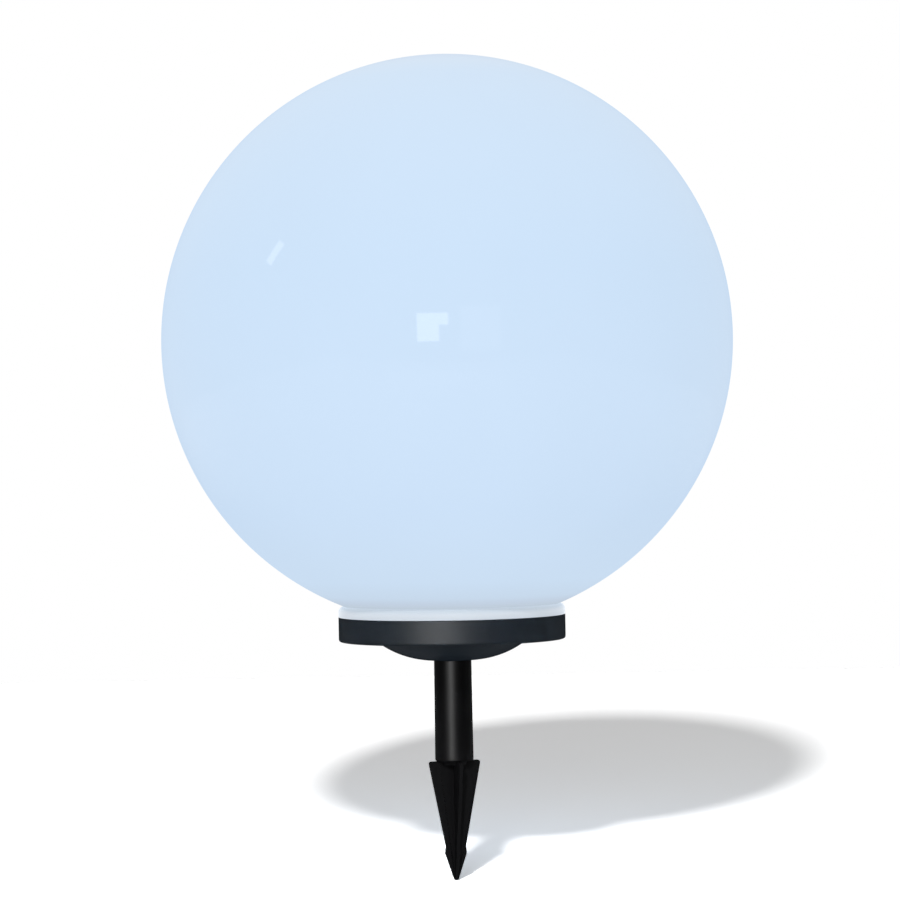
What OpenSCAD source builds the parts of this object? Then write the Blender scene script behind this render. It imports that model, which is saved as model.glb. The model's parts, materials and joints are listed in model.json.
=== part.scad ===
// Solar globe light on a ground spike. Origin on the axis at soil level, +Z up, millimetres.

/* [Globe] */
// Diameter of the ball
globe_d = 500; // [420:1:540]
// Wall of the ball
globe_wall = 3; // [2:0.5:5]
// Height of the collar that shows under the ball
collar_h = 9.5; // [8:0.5:14]
// Rounding of the collar's upper edge
collar_round = 5; // [3:0.5:6]
// Wall of the skirt that goes down inside the rim
skirt_wall = 4; // [3:0.5:5]
// Wall of the sleeve that the ball is bonded round
sleeve_wall = 1.8; // [1.4:0.1:2.4]
// Height of the sleeve above the collar
sleeve_h = 4; // [3:0.5:8]
// Gap that the bond fills
bond_gap = 0.05; // [0.02:0.01:0.1]
// Depth of the skirt below the collar
skirt_depth = 17; // [16:0.5:18]

/* [Base housing] */
// Diameter of the rim
base_d = 199; // [190:1:215]
// Wall of the rim and the bowl
base_wall = 2.5; // [2:0.1:3]
// Height of the rim
rim_h = 21.5; // [21:0.5:28]
// Rounding under the rim
rim_round = 2.6; // [1.5:0.1:4]
// Diameter of the bowl where it meets the rim's underside
bowl_d = 133.4; // [120:1:140]
// Depth of the bowl below the rim
bowl_h = 17.5; // [12:0.5:24]
// Diameter of the flat at the bottom of the bowl
bowl_flat_d = 33; // [30:1:40]

/* [Globe lock] */
// Gap between the skirt and the rim, which the lugs and ribs fill
lock_room = 3; // [2.5:0.1:4]
// Number of lugs and ribs
lug_count = 3; // [2:1:4]
// Angle that one lug covers
lug_angle = 12; // [8:1:16]
// Thickness of a lug
lug_t = 3; // [2:0.5:3.5]
// Angle that one rib covers
rib_angle = 45; // [30:1:48]
// Thickness of a rib
rib_t = 2.4; // [1.6:0.2:2.6]
// Angle that the globe turns until it is free
turn_angle = 60; // [50:1:70]
// Height that the globe rises over that turn
turn_rise = 12.5; // [8:0.5:13]
// Thickness of the seal
seal_t = 1.5; // [1:0.1:2]
// Width of the rebate that the seal lies in
seal_rebate = 1.2; // [0.8:0.1:1.5]

/* [Pole] */
// Diameter of the pole at its top
pole_d = 32.8; // [31.6:0.2:40]
// How much wider the pole is at its foot
pole_draft = 0.9; // [0:0.1:2]
// Height of the pole
pole_h = 88.5; // [80:1:400]
// Chamfer round the foot of the pole
pole_chamfer = 1.4; // [0.5:0.1:1.6]
// Diameter of the pole's bore
pole_bore_d = 28.4; // [25:0.2:29]
// Length of the spigots in the pole
spigot_l = 35; // [20:1:38]
// Wall of the spigots
spigot_wall = 3; // [2:0.5:5]
// Width of the key in the pole's bore
key_w = 2.4; // [1.6:0.2:4]
// Height of the key
key_h = 1.4; // [1:0.1:1.8]

/* [Spike] */
// Reach of the fins at their top
fin_top_r = 23.1; // [20:0.1:30]
// Reach of the fins above the barb
fin_waist_r = 8.9; // [6:0.1:12]
// Reach of the barb
barb_r = 9.6; // [9:0.1:14]
// Depth of the waist
waist_z = 75; // [60:1:200]
// Height of the barb's upper slope
barb_h = 6; // [2:0.5:10]
// Depth of the tip
spike_l = 104.4; // [100:0.1:300]
// Radius of the tip
tip_r = 2.2; // [1:0.1:3]
// Rounding of the fins' top corners
fin_round = 2; // [0.5:0.1:4]
// Thickness of the fins
fin_t = 3; // [2:0.1:5]
// Turn of the fins
spike_turn = 15.6; // [0:0.1:45]

/* [Deck] */
// Height of the deck's underside above the rim's top
deck_rise = 0.5; // [0:0.5:4]
// Thickness of the deck
deck_t = 2.5; // [2.2:0.1:4]
// Gap round the deck
deck_gap = 1.5; // [1:0.1:3]
// Distance from the deck's edge to its screws
post_inset = 7.5; // [6.5:0.5:9]
// Diameter of the posts under the deck
post_d = 9; // [7:0.5:11]

/* [Solar panel] */
// Distance from the deck's edge to the panel's corners
panel_inset = 2.5; // [1.5:0.5:8]
// Gap between the panel and the battery door
panel_gap = 6; // [5:0.5:10]
// Height of the panel's tray
panel_h = 6; // [5:0.5:9]
// Width of the tray's border
panel_border = 4; // [3:0.5:6]
// Thickness of the cover glass
glass_t = 2.4; // [1.6:0.2:3.2]
// Rows and columns of cells
cell_rows = 4; // [2:1:6]
cell_columns = 2; // [1:1:3]
// Gap between cells
cell_gap = 2; // [1:0.5:4]
// Thickness of the cells
cell_t = 0.4; // [0.3:0.1:0.8]

/* [Lamps] */
// Width of a lamp strip
strip_w = 14; // [12:0.5:15]
// Length of a lamp strip
strip_l = 76; // [70:1:80]
// Distance from the deck's edge to a strip's corners
strip_inset = 4; // [2:0.5:5]
// Distance of the lamps from the strip's middle
lamp_y = 22; // [16:1:26]
// Side of a lamp
lamp_side = 5; // [3:0.5:6]
// Height of a lamp
lamp_h = 1.6; // [1:0.2:2.4]
// Diameter of a lamp's lens
lens_d = 13; // [11:0.5:13.5]
// Wall of a lens
lens_wall = 1.2; // [0.8:0.1:1.6]

/* [Circuit] */
// Thickness of the circuit boards
board_t = 1.6; // [1:0.2:2]
// Length of the control board
board_l = 64; // [56:1:72]
// Width of the control board
board_w = 44; // [40:1:50]
// Length of the standoffs between deck and control board
standoff_l = 8; // [5:0.5:10]
// Distance of the standoffs from the board's edges
standoff_inset = 4; // [4:0.5:6]
// Side of a wire terminal
terminal_side = 6; // [5:0.5:7]
// Diameter of a lead
lead_d = 1.4; // [1:0.1:1.8]

/* [Batteries] */
// Diameter of a cell
battery_d = 14.5; // [14:0.1:15]
// Length of a cell with its button
battery_l = 50.5; // [48:0.5:52]
// Distance from the deck's edge to the middle of the battery bay
bay_inset = 27.5; // [26:0.5:30]
// Space for the contacts at each end
contact_room = 3.8; // [3:0.1:5]
// Wall of the battery box
box_wall = 1.6; // [1.2:0.1:2]
// Thickness of the battery door
door_t = 1.5; // [1.2:0.1:1.8]
// Overhang of the door round the bay
door_lip = 2.6; // [2:0.1:3]

/* [Switch] */
// Distance from the skirt to the switch
switch_inset = 11; // [10.5:0.5:14]
// Diameter of the button
button_d = 10; // [8:0.5:11]
// How far the button stands out
button_out = 3; // [2:0.5:5]
// Travel of the button
button_travel = 1.5; // [1:0.1:2]
// Side of the switch body
switch_side = 16; // [15.5:0.5:17]

/* [Fits] */
// Radial clearance of the spigots in the pole
spigot_gap = 0.08; // [0.05:0.01:0.1]
// Clearance between lugs and ribs, and beside the key
slide_gap = 0.4; // [0.35:0.05:0.5]
// Clearance of a screw in its hole
screw_gap = 0.05; // [0.02:0.01:0.1]
// Clearance of a piece in its seat
seat_gap = 0.3; // [0.2:0.05:0.4]
// Clearance of the seal above and below
seal_gap = 0.05; // [0.02:0.01:0.1]
// Diameter of the large screws
screw_d = 3; // [2.5:0.1:3.5]
// Diameter of the small screws
small_screw_d = 2; // [1.6:0.1:2.2]

/* [Hidden] */
$fn = 96;
// A cut runs past the face it opens by this much
past = 1;

// Heights, from the soil up
bowl_z = pole_h;
rim_z = bowl_z + bowl_h;
floor_z = rim_z + base_wall;
rim_top_z = rim_z + rim_h;
collar_top_z = rim_top_z + collar_h;
deck_z = rim_top_z + deck_rise;
deck_top_z = deck_z + deck_t;
skirt_z = rim_top_z - skirt_depth;

// Radii
base_r = base_d / 2;
rim_in_r = base_r - base_wall;
skirt_r = rim_in_r - lock_room;
neck_r = skirt_r - skirt_wall;
deck_r = neck_r - deck_gap;
globe_r = globe_d / 2;
globe_in_r = globe_r - globe_wall;
sleeve_r = neck_r + sleeve_wall;
collar_root_r = base_r - collar_round + 0.5;
globe_z = collar_top_z + sqrt(globe_r * globe_r - collar_root_r * collar_root_r);
rise_per_degree = turn_rise / turn_angle;
spigot_r = pole_bore_d / 2 - spigot_gap;
lead_in = 1;

// Places on the deck
bay_y = deck_r - bay_inset;
bay_l = battery_l + 2 * contact_room;
bay_w = 2 * battery_d + 3 * seat_gap;
bay_depth = battery_d + 2 * seat_gap;
bay_z = deck_z - bay_depth;
door_l = bay_l + 2 * door_lip;
door_w = bay_w + 2 * door_lip;
door_tab_r = screw_d * 1.5;
door_tab_x = door_l / 2 + door_tab_r * 0.6;
ear_r = small_screw_d * 1.75;
ear_x = bay_l / 2 + box_wall + ear_r * 0.8;
ear_y = -bay_y - bay_w / 2 + ear_r;
panel_front = -bay_y + door_w / 2 + panel_gap;
panel_side = side_in_circle(panel_front, deck_r - panel_inset);
panel_y = panel_front + panel_side / 2;
strip_x = sqrt(pow(deck_r - strip_inset, 2) - strip_l * strip_l / 4) - strip_w / 2;
strip_top_z = deck_top_z + board_t;
post_r = deck_r - post_inset;
post_count = 4;
post_first = 45;
switch_y = neck_r - switch_inset;

// The control board hangs under the deck
board_y = panel_y;
board_top_z = deck_z - standoff_l;
board_z = board_top_z - board_t;
standoff_x = board_l / 2 - standoff_inset;
standoff_y = board_w / 2 - standoff_inset;
standoff_d = small_screw_d * 3;
lead_z = board_z - terminal_side / 2;
lead_pitch = 2.6;
lead_bend = 4;
lead_hole_r = lead_pitch / 2 + lead_d / 2 + 0.5;
strip_lead_y = strip_l / 2 - lead_hole_r - 1;
panel_lead_y = board_y + board_w / 2 + 2 * lead_bend;
terminal_x = board_l / 5;

// Screw heads
head_h = 0.6;
head_r = 0.95;

// Side of a square whose front edge lies at y = front and whose back corners lie on the circle
function side_in_circle(front, r) = (-2 * front + sqrt(5 * r * r - front * front)) / 2.5;

// Points on an arc about c from angle a0 to a1
function arc(c, r, a0, a1, n = 8) =
    [for (i = [0:n]) let (a = a0 + (a1 - a0) * i / n) c + r * [cos(a), sin(a)]];

// The sides of a tube between rings of n points, and its two ends
function tube_faces(rings, n) = concat(
    [[for (k = [0:n - 1]) k]],
    [for (i = [0:rings - 2], k = [0:n - 1]) let (k2 = (k + 1) % n)
        [i * n + k, (i + 1) * n + k, (i + 1) * n + k2, i * n + k2]],
    [[for (k = [n - 1:-1:0]) (rings - 1) * n + k]]
);

// Faces of the same tube as triangles
function split(faces) = [for (f = faces, i = [1:len(f) - 2]) [f[0], f[i], f[i + 1]]];

function unit(v) = v / norm(v);
function heading(p, i) = unit(p[min(i + 1, len(p) - 1)] - p[max(i - 1, 0)]);

// A smooth line through the points, with m steps between each two
function blend(a, b, c, d, t) =
    0.5 * (2 * b + (c - a) * t + (2 * a - 5 * b + 4 * c - d) * t * t + (3 * b - a - 3 * c + d) * t * t * t);
function smooth(p, m) = let (last = len(p) - 1) concat(
    [for (i = [0:last - 1], s = [0:m - 1])
        blend(p[max(i - 1, 0)], p[i], p[i + 1], p[min(i + 2, last)], s / m)],
    [p[last]]
);

// A round tube along the points
module tube(p, r, sides = 8) {
    first = heading(p, 0);
    start = abs(first[2]) > 0.9 ? [1, 0, 0] : [0, 0, 1];
    across = [for (i = 0, n = unit(start - (start * first) * first); i < len(p);
        i = i + 1, n = i < len(p) ? let (t = heading(p, i)) unit(n - (n * t) * t) : n) n];
    points = [for (i = [0:len(p) - 1], k = [0:sides - 1])
        let (t = heading(p, i), u = across[i], v = cross(t, u), a = -360 * k / sides)
        p[i] + r * (cos(a) * u + sin(a) * v)];
    polyhedron(points, split(tube_faces(len(p), sides)));
}

// A bar round the axis that climbs with the angle, at height z where the angle is 0
module climbing_bar(r_in, r_out, thick, from, to, z) {
    steps = ceil((to - from) / 4);
    points = [for (i = [0:steps])
        let (a = from + (to - from) * i / steps, low = z + a * rise_per_degree, out = [cos(a), sin(a)])
        each [
            [r_in * out[0], r_in * out[1], low],
            [r_in * out[0], r_in * out[1], low + thick],
            [r_out * out[0], r_out * out[1], low + thick],
            [r_out * out[0], r_out * out[1], low],
        ]];
    polyhedron(points, split(tube_faces(steps + 1, 4)));
}

// A coil spring standing on z = 0, wide_r at its foot and end_r at its top
module coil(wide_r, end_r, height, turns, wire_r) {
    per_turn = 10;
    count = turns * per_turn;
    rise = (height - 2 * wire_r) / count;
    points = [for (i = [0:count])
        let (a = 360 * i / per_turn, r = wide_r + (end_r - wide_r) * i / count)
        [r * cos(a), r * sin(a), wire_r + rise * i]];
    tube(points, wire_r, 6);
}

// A pan-head screw, head down on z = 0 and its shank up the axis
module screw(d, length) {
    head_t = d * head_h;
    difference() {
        union() {
            rotate_extrude() polygon(concat([[0, -head_t], [d * head_r - 0.4, -head_t]],
                [[d * head_r, 0.4 - head_t], [d * head_r, 0], [0, 0]]));
            cylinder(d = d, h = length);
        }
        for (turn = [0, 90])
            rotate(turn)
                translate([-d * 0.6, -d * 0.12, -head_t - past])
                    cube([d * 1.2, d * 0.24, head_t * 0.6 + past]);
    }
}

// The posts, corners and ends where copies of a piece stand
module at_posts() {
    for (i = [0:post_count - 1])
        rotate(post_first + i * 360 / post_count)
            translate([post_r, 0, 0])
                children();
}

module at_corners(x, y) {
    for (sx = [-1, 1], sy = [-1, 1])
        translate([sx * x, sy * y, 0])
            children();
}

module at_ends(x) {
    for (side = [-1, 1])
        translate([side * x, 0, 0])
            children();
}

module block(size, low_z) {
    translate([-size[0] / 2, -size[1] / 2, low_z])
        cube(size);
}

// Spigot that fits the pole's bore, standing on z = 0 with its root sunk in what carries it
module spigot(root) {
    difference() {
        rotate_extrude()
            polygon([[0, -root], [spigot_r - spigot_wall, -root], [spigot_r - spigot_wall, 0],
                [spigot_r, 0], [spigot_r, spigot_l - lead_in],
                [spigot_r - lead_in, spigot_l], [0, spigot_l]]);
        translate([0, 0, spigot_wall])
            cylinder(r = spigot_r - spigot_wall, h = spigot_l);
        translate([-key_w / 2 - slide_gap, pole_bore_d / 2 - key_h - slide_gap, -past])
            cube([key_w + 2 * slide_gap, key_h + 2, spigot_l + 2 * past]);
    }
}

module fin_outline() {
    tip = [0, -spike_l + tip_r];
    corner = [fin_top_r - fin_round, -fin_round];
    half = concat(
        arc(corner, fin_round, 90, -10, 6),
        [[fin_waist_r, -waist_z], [barb_r, -waist_z - barb_h]],
        arc(tip, tip_r, -20, -90, 6)
    );
    polygon(concat([[0, 0]], half));
    mirror([1, 0])
        polygon(concat([[0, 0]], half));
}

module spike() {
    color("#151517")
        union() {
            rotate(spike_turn)
                for (turn = [0, 90])
                    rotate([90, 0, turn])
                        linear_extrude(fin_t, center = true)
                            fin_outline();
            spigot(fin_t);
        }
}

module pole() {
    foot_r = (pole_d + pole_draft) / 2;
    color("#18181a")
        union() {
            difference() {
                rotate_extrude()
                    polygon([[0, 0], [foot_r - pole_chamfer, 0], [foot_r, pole_chamfer * 1.4],
                        [pole_d / 2, pole_h], [0, pole_h]]);
                translate([0, 0, -past])
                    cylinder(d = pole_bore_d, h = pole_h + 2 * past);
            }
            translate([-key_w / 2, pole_bore_d / 2 - key_h, 0])
                cube([key_w, key_h + 0.5, pole_h]);
        }
}

// Outline of the rim and bowl, grown inward by the wall
module bowl_side(inset) {
    flat_r = bowl_flat_d / 2;
    run = bowl_d / 2 - flat_r;
    curve_r = (run * run + bowl_h * bowl_h) / (2 * bowl_h);
    reach = asin(run / curve_r);
    polygon(concat(
        [[0, bowl_z + inset]],
        arc([flat_r, bowl_z + curve_r], curve_r - inset, -90, -90 + reach, 14),
        [[bowl_d / 2 - inset * 0.7, rim_z + inset], [bowl_d / 2 - inset * 0.7, rim_top_z], [0, rim_top_z]]
    ));
}

module rim_side() {
    polygon(concat(
        [[0, rim_z], [base_r - rim_round, rim_z]],
        arc([base_r - rim_round, rim_z + rim_round], rim_round, -90, 0),
        [[base_r, rim_top_z], [0, rim_top_z]]
    ));
}

module base_housing() {
    color("#1e2227")
        difference() {
            union() {
                rotate_extrude()
                    difference() {
                        union() {
                            rim_side();
                            bowl_side(0);
                        }
                        translate([0, floor_z])
                            square([rim_in_r, rim_h]);
                        translate([0, rim_top_z - seal_t])
                            square([rim_in_r + seal_rebate, rim_h]);
                        bowl_side(base_wall);
                    }
                for (i = [0:lug_count - 1])
                    rotate(i * 360 / lug_count)
                        climbing_bar(skirt_r + slide_gap, rim_in_r + base_wall / 2, rib_t, -2, rib_angle - 2,
                            skirt_z + lug_t + slide_gap);
                at_posts()
                    translate([0, 0, rim_z + base_wall / 2])
                        cylinder(d = post_d, h = deck_z - rim_z - base_wall / 2);
                translate([0, 0, bowl_z])
                    mirror([0, 0, 1])
                        spigot(base_wall / 2);
            }
            at_posts()
                translate([0, 0, floor_z])
                    cylinder(d = screw_d + 2 * screw_gap, h = deck_z);
            translate([0, switch_y, rim_z - past])
                cylinder(d = button_d + 2 * seat_gap, h = base_wall + 2 * past);
        }
}

module globe() {
    color("#cfe5fc")
        translate([0, 0, globe_z])
            difference() {
                sphere(r = globe_r, $fn = 180);
                sphere(r = globe_in_r, $fn = 180);
                translate([0, 0, -globe_d])
                    cylinder(r = sleeve_r + bond_gap, h = globe_d, $fn = 180);
            }
}

module globe_collar() {
    color("#d3dce2")
        difference() {
            union() {
                difference() {
                    rotate_extrude()
                        polygon(concat(
                            [[neck_r - past, skirt_z], [skirt_r, skirt_z]],
                            [[skirt_r, rim_top_z], [base_r, rim_top_z]],
                            arc([base_r - collar_round, collar_top_z - collar_round], collar_round, 0, 90),
                            [[neck_r - past, collar_top_z]]
                        ));
                    translate([0, 0, globe_z])
                        sphere(r = globe_r + bond_gap, $fn = 180);
                }
                translate([0, 0, skirt_z])
                    cylinder(r = sleeve_r, h = collar_top_z + sleeve_h - skirt_z);
                for (i = [0:lug_count - 1])
                    rotate(i * 360 / lug_count)
                        climbing_bar(skirt_r - skirt_wall / 2, rim_in_r - slide_gap, lug_t,
                            0, lug_angle, skirt_z);
            }
            translate([0, 0, skirt_z - past])
                cylinder(r = neck_r, h = skirt_depth + collar_h + sleeve_h + 2 * past);
        }
}

module globe_seal() {
    color("#dfe3e6")
        difference() {
            translate([0, 0, rim_top_z - seal_t + seal_gap])
                cylinder(r = rim_in_r + seal_rebate - seal_gap, h = seal_t - 2 * seal_gap);
            cylinder(r = skirt_r + seal_gap, h = rim_top_z + past);
        }
}

module deck() {
    color("#e8e8e6")
        difference() {
            union() {
                translate([0, 0, deck_z])
                    cylinder(r = deck_r, h = deck_t);
                translate([0, board_y, board_top_z])
                    at_corners(standoff_x, standoff_y)
                        cylinder(d = standoff_d, h = standoff_l + deck_t / 2);
            }
            at_posts()
                translate([0, 0, deck_z - past])
                    cylinder(d = screw_d + 2 * screw_gap, h = deck_t + 2 * past);
            translate([0, board_y, board_top_z - past])
                at_corners(standoff_x, standoff_y)
                    cylinder(d = small_screw_d + 2 * screw_gap, h = standoff_l);
            translate([0, -bay_y, 0]) {
                block([bay_l, bay_w, deck_t + 2 * past], deck_z - past);
                block([door_l + 2 * seat_gap, door_w + 2 * seat_gap, door_t + past], deck_top_z - door_t);
                at_ends(door_tab_x) {
                    translate([0, 0, deck_top_z - door_t])
                        cylinder(r = door_tab_r + seat_gap, h = door_t + past);
                    translate([0, 0, deck_z - past])
                        cylinder(d = screw_d + 2 * screw_gap, h = deck_t);
                }
            }
            translate([0, ear_y, deck_z - past])
                at_ends(ear_x)
                    cylinder(d = small_screw_d + 2 * screw_gap, h = deck_t);
            translate([0, 0, deck_z - past]) {
                at_ends(strip_x)
                    cylinder(d = small_screw_d + 2 * screw_gap, h = deck_t + 2 * past);
                at_ends(strip_x)
                    translate([0, strip_lead_y, 0])
                        cylinder(r = lead_hole_r, h = deck_t + 2 * past);
                translate([terminal_x, panel_lead_y, 0])
                    cylinder(r = lead_hole_r, h = deck_t + 2 * past);
            }
        }
}

module panel_tray() {
    inner = panel_side - 2 * panel_border;
    color("#202226")
        translate([0, panel_y, 0])
            difference() {
                block([panel_side, panel_side, panel_h], deck_top_z);
                block([inner, inner, panel_h], deck_top_z + base_wall);
            }
}

module solar_cells() {
    inner = panel_side - 2 * panel_border - 2 * cell_gap;
    pitch_x = (inner + cell_gap) / cell_columns;
    pitch_y = (inner + cell_gap) / cell_rows;
    color("#16203f")
        for (i = [0:cell_columns - 1], j = [0:cell_rows - 1])
            translate([
                (i - (cell_columns - 1) / 2) * pitch_x,
                panel_y + (j - (cell_rows - 1) / 2) * pitch_y,
                0
            ])
                block([pitch_x - cell_gap, pitch_y - cell_gap, cell_t], deck_top_z + base_wall);
}

module panel_glass() {
    side = panel_side - 2 * panel_border - 2 * seat_gap;
    color("#9fb4c4", 0.4)
        translate([0, panel_y, 0])
            block([side, side, glass_t], deck_top_z + base_wall + cell_t);
}

module lamp_strips() {
    color("#e9ece6")
        difference() {
            at_ends(strip_x)
                block([strip_w, strip_l, board_t], deck_top_z);
            at_ends(strip_x)
                translate([0, 0, deck_z])
                    cylinder(d = small_screw_d + 2 * screw_gap, h = 3 * deck_t);
        }
}

module at_lamps() {
    for (side = [-1, 1])
        translate([0, side * lamp_y, 0])
            at_ends(strip_x)
                children();
}

module lamps() {
    color("#f4d774")
        at_lamps()
            block([lamp_side, lamp_side, lamp_h], strip_top_z);
}

module lamp_lenses() {
    outer_r = lens_d / 2;
    color("#dfe9ee", 0.5)
        at_lamps()
            translate([0, 0, strip_top_z])
                difference() {
                    union() {
                        cylinder(r = outer_r, h = 1);
                        sphere(r = outer_r - 0.5);
                    }
                    sphere(r = outer_r - 0.5 - lens_wall);
                    block([lens_d, lens_d, lens_d], -lens_d);
                }
}

module control_board() {
    color("#1f6b3c")
        translate([0, board_y, 0])
            difference() {
                block([board_l, board_w, board_t], board_z);
                translate([0, 0, board_z - past])
                    at_corners(standoff_x, standoff_y)
                        cylinder(d = small_screw_d + 2 * screw_gap, h = board_t + 2 * past);
            }
}

module board_components() {
    chip = [10, 10, 1.6];
    can_r = 4;
    can_h = 9;
    choke_r = 5;
    choke_h = 5;
    color("#2a2a2c")
        translate([0, board_y, 0]) {
            block(chip, board_z - chip[2]);
            translate([-board_l / 4, -board_w / 6, board_z - can_h])
                cylinder(r = can_r, h = can_h);
            translate([board_l / 4, -board_w / 6, board_z - choke_h])
                cylinder(r = choke_r, h = choke_h);
        }
}

module terminal() {
    block([terminal_side, terminal_side, terminal_side], board_z - terminal_side);
}

module wire_terminals() {
    edge = (board_w - terminal_side) / 2;
    color("#f1f1ec")
        translate([0, board_y, 0]) {
            translate([0, -edge, 0])
                terminal();
            at_ends(terminal_x)
                translate([0, edge, 0])
                    terminal();
            at_ends((board_l - terminal_side) / 2)
                terminal();
        }
}

module battery_box() {
    outer = [bay_l + 2 * box_wall, bay_w + 2 * box_wall, bay_depth + box_wall];
    color("#232528")
        difference() {
            union() {
                translate([0, -bay_y, 0])
                    block(outer, bay_z - box_wall);
                translate([0, ear_y, deck_z - deck_t])
                    for (side = [-1, 1]) {
                        translate([side * ear_x, 0, 0])
                            cylinder(r = ear_r, h = deck_t);
                        translate([side * (ear_x - ear_r / 2), 0, 0])
                            block([ear_r, 2 * ear_r, deck_t], 0);
                    }
            }
            translate([0, -bay_y, 0])
                block([bay_l, bay_w, bay_depth + past], bay_z);
            translate([0, ear_y, deck_z - deck_t - past])
                at_ends(ear_x)
                    cylinder(d = small_screw_d + 2 * screw_gap, h = deck_t + 2 * past);
        }
}

// One cell lying along X, its nose towards +X
module battery(tint) {
    nose_l = 1.5;
    nose_r = 2.75;
    edge = 0.7;
    can_r = battery_d / 2;
    can_l = battery_l - nose_l;
    color(tint)
        translate([-battery_l / 2, 0, 0])
            rotate([0, 90, 0])
                rotate_extrude()
                    polygon([[0, 0], [can_r - edge, 0], [can_r, edge], [can_r, can_l - edge],
                        [can_r - edge, can_l], [nose_r, can_l], [nose_r, battery_l], [0, battery_l]]);
}

battery_z = bay_z + seat_gap + battery_d / 2;
battery_y = (battery_d + seat_gap) / 2;
wire_r = 0.35;

module battery_1() {
    translate([0, -bay_y + battery_y, battery_z])
        battery("#3f8f4a");
}

module battery_2() {
    translate([0, -bay_y - battery_y, battery_z])
        rotate(180)
            battery("#3f8f4a");
}

plate_t = 0.5;
plate_side = battery_d - 3;
tongue_x = (battery_l + contact_room - plate_t) / 2;
tongue_h = plate_side / 2;
spring_foot_r = 4.4;
spring_end_r = 2.6;

module at_springs() {
    for (side = [-1, 1])
        translate([-side * (bay_l / 2 - plate_t), -bay_y + side * battery_y, battery_z])
            rotate([0, side * 90, 0])
                children();
}

module contact_springs() {
    color("#c9ccd0")
        at_springs()
            coil(spring_foot_r, spring_end_r, contact_room - plate_t, 3, wire_r);
}

module contact_plates() {
    color("#c9ccd0") {
        for (side = [-1, 1], end = [-1, 1])
            translate([end * (bay_l / 2 - plate_t / 2), -bay_y + side * battery_y, battery_z])
                block([plate_t, plate_side, plate_side], -plate_side / 2);
        for (side = [-1, 1])
            translate([side * tongue_x, -bay_y + side * battery_y, battery_z])
                block([contact_room - plate_t, plate_t, tongue_h], -tongue_h / 2);
    }
}

module battery_door() {
    color("#dededb")
        translate([0, -bay_y, 0])
            difference() {
                union() {
                    block([door_l, door_w, door_t], deck_top_z - door_t);
                    at_ends(door_tab_x)
                        translate([0, 0, deck_top_z - door_t])
                            cylinder(r = door_tab_r, h = door_t);
                }
                at_ends(door_tab_x)
                    cylinder(d = screw_d + 2 * screw_gap, h = deck_top_z + past);
            }
}

module door_screws() {
    color("#b9bcc0")
        translate([0, -bay_y, deck_top_z])
            at_ends(door_tab_x)
                mirror([0, 0, 1])
                    screw(screw_d, deck_t - 0.5);
}

module deck_screws() {
    color("#b9bcc0")
        at_posts()
            translate([0, 0, deck_top_z])
                mirror([0, 0, 1])
                    screw(screw_d, deck_t + 10);
}

module board_screws() {
    color("#b9bcc0") {
        translate([0, board_y, board_z])
            at_corners(standoff_x, standoff_y)
                screw(small_screw_d, board_t + 4);
        translate([0, ear_y, deck_z - deck_t])
            at_ends(ear_x)
                screw(small_screw_d, 2 * deck_t - past - 0.2);
        translate([0, 0, strip_top_z])
            at_ends(strip_x)
                mirror([0, 0, 1])
                    screw(small_screw_d, board_t + deck_t);
    }
}

button_spring_r = 4;
flange_r = button_d / 2 + 1;
flange_t = 1;
stem_r = 1.6;
switch_bore_r = flange_r + seat_gap;
switch_h = 10.5;
spring_h = 6.5;
flange_top_z = floor_z + flange_t;
stem_top_z = flange_top_z + spring_h - button_travel - 1;

module switch_body() {
    color("#d8d8d4")
        translate([0, switch_y, 0])
            difference() {
                block([switch_side, switch_side, switch_h], floor_z);
                translate([0, 0, floor_z - past])
                    cylinder(r = switch_bore_r, h = flange_t + spring_h + past);
            }
}

module switch_button() {
    button_r = button_d / 2;
    color("#26282b")
        translate([0, switch_y, 0])
            rotate_extrude()
                polygon(concat(
                    [[0, rim_z - button_out], [button_r - 1, rim_z - button_out]],
                    arc([button_r - 1, rim_z - button_out + 1], 1, -90, 0, 5),
                    [[button_r, floor_z], [flange_r, floor_z], [flange_r, flange_top_z]],
                    [[stem_r, flange_top_z], [stem_r, stem_top_z], [0, stem_top_z]]
                ));
}

module switch_spring() {
    color("#c9ccd0")
        translate([0, switch_y, flange_top_z])
            coil(button_spring_r, button_spring_r, spring_h, 5, wire_r);
}

// Ends and bends of each pair of leads. side is -1 for red and 1 for black.
function battery_lead(side) = let (x = side * lead_pitch / 2, edge = board_y - board_w / 2) [
    [x, -bay_y + bay_w / 2 + box_wall, lead_z],
    [x, -bay_y + bay_w / 2 + box_wall + lead_bend, lead_z],
    [x, (edge - bay_y + bay_w / 2) / 2, lead_z - lead_bend],
    [x, edge - lead_bend, lead_z],
    [x, edge, lead_z],
];
function panel_lead(side) = let (x = terminal_x + side * lead_pitch / 2) [
    [x, panel_lead_y, deck_top_z],
    [x, panel_lead_y, deck_z - lead_bend],
    [x, panel_lead_y - lead_bend * 0.4, lead_z + lead_bend * 0.4],
    [x, panel_lead_y - lead_bend * 1.4, lead_z],
    [x, panel_lead_y - lead_bend * 2, lead_z],
];
function strip_lead(side, end) = let (y = side * lead_pitch / 2, x = end * board_l / 2) [
    [end * strip_x, strip_lead_y + y, deck_top_z],
    [end * strip_x, strip_lead_y + y, deck_z - lead_bend],
    [end * (strip_x - lead_bend), strip_lead_y + y, lead_z + lead_bend],
    [x + end * 3 * lead_bend, board_y + 2 * lead_bend + y, lead_z],
    [x + end * lead_bend, board_y + y, lead_z],
    [x, board_y + y, lead_z],
];
function switch_lead(side) = let (x = side * lead_pitch / 2, edge = board_y + board_w / 2) [
    [x, switch_y - switch_side / 2, lead_z],
    [x, switch_y - switch_side / 2 - lead_bend, lead_z],
    [x - terminal_x, edge + lead_bend, lead_z],
    [x - terminal_x, edge, lead_z],
];

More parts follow.
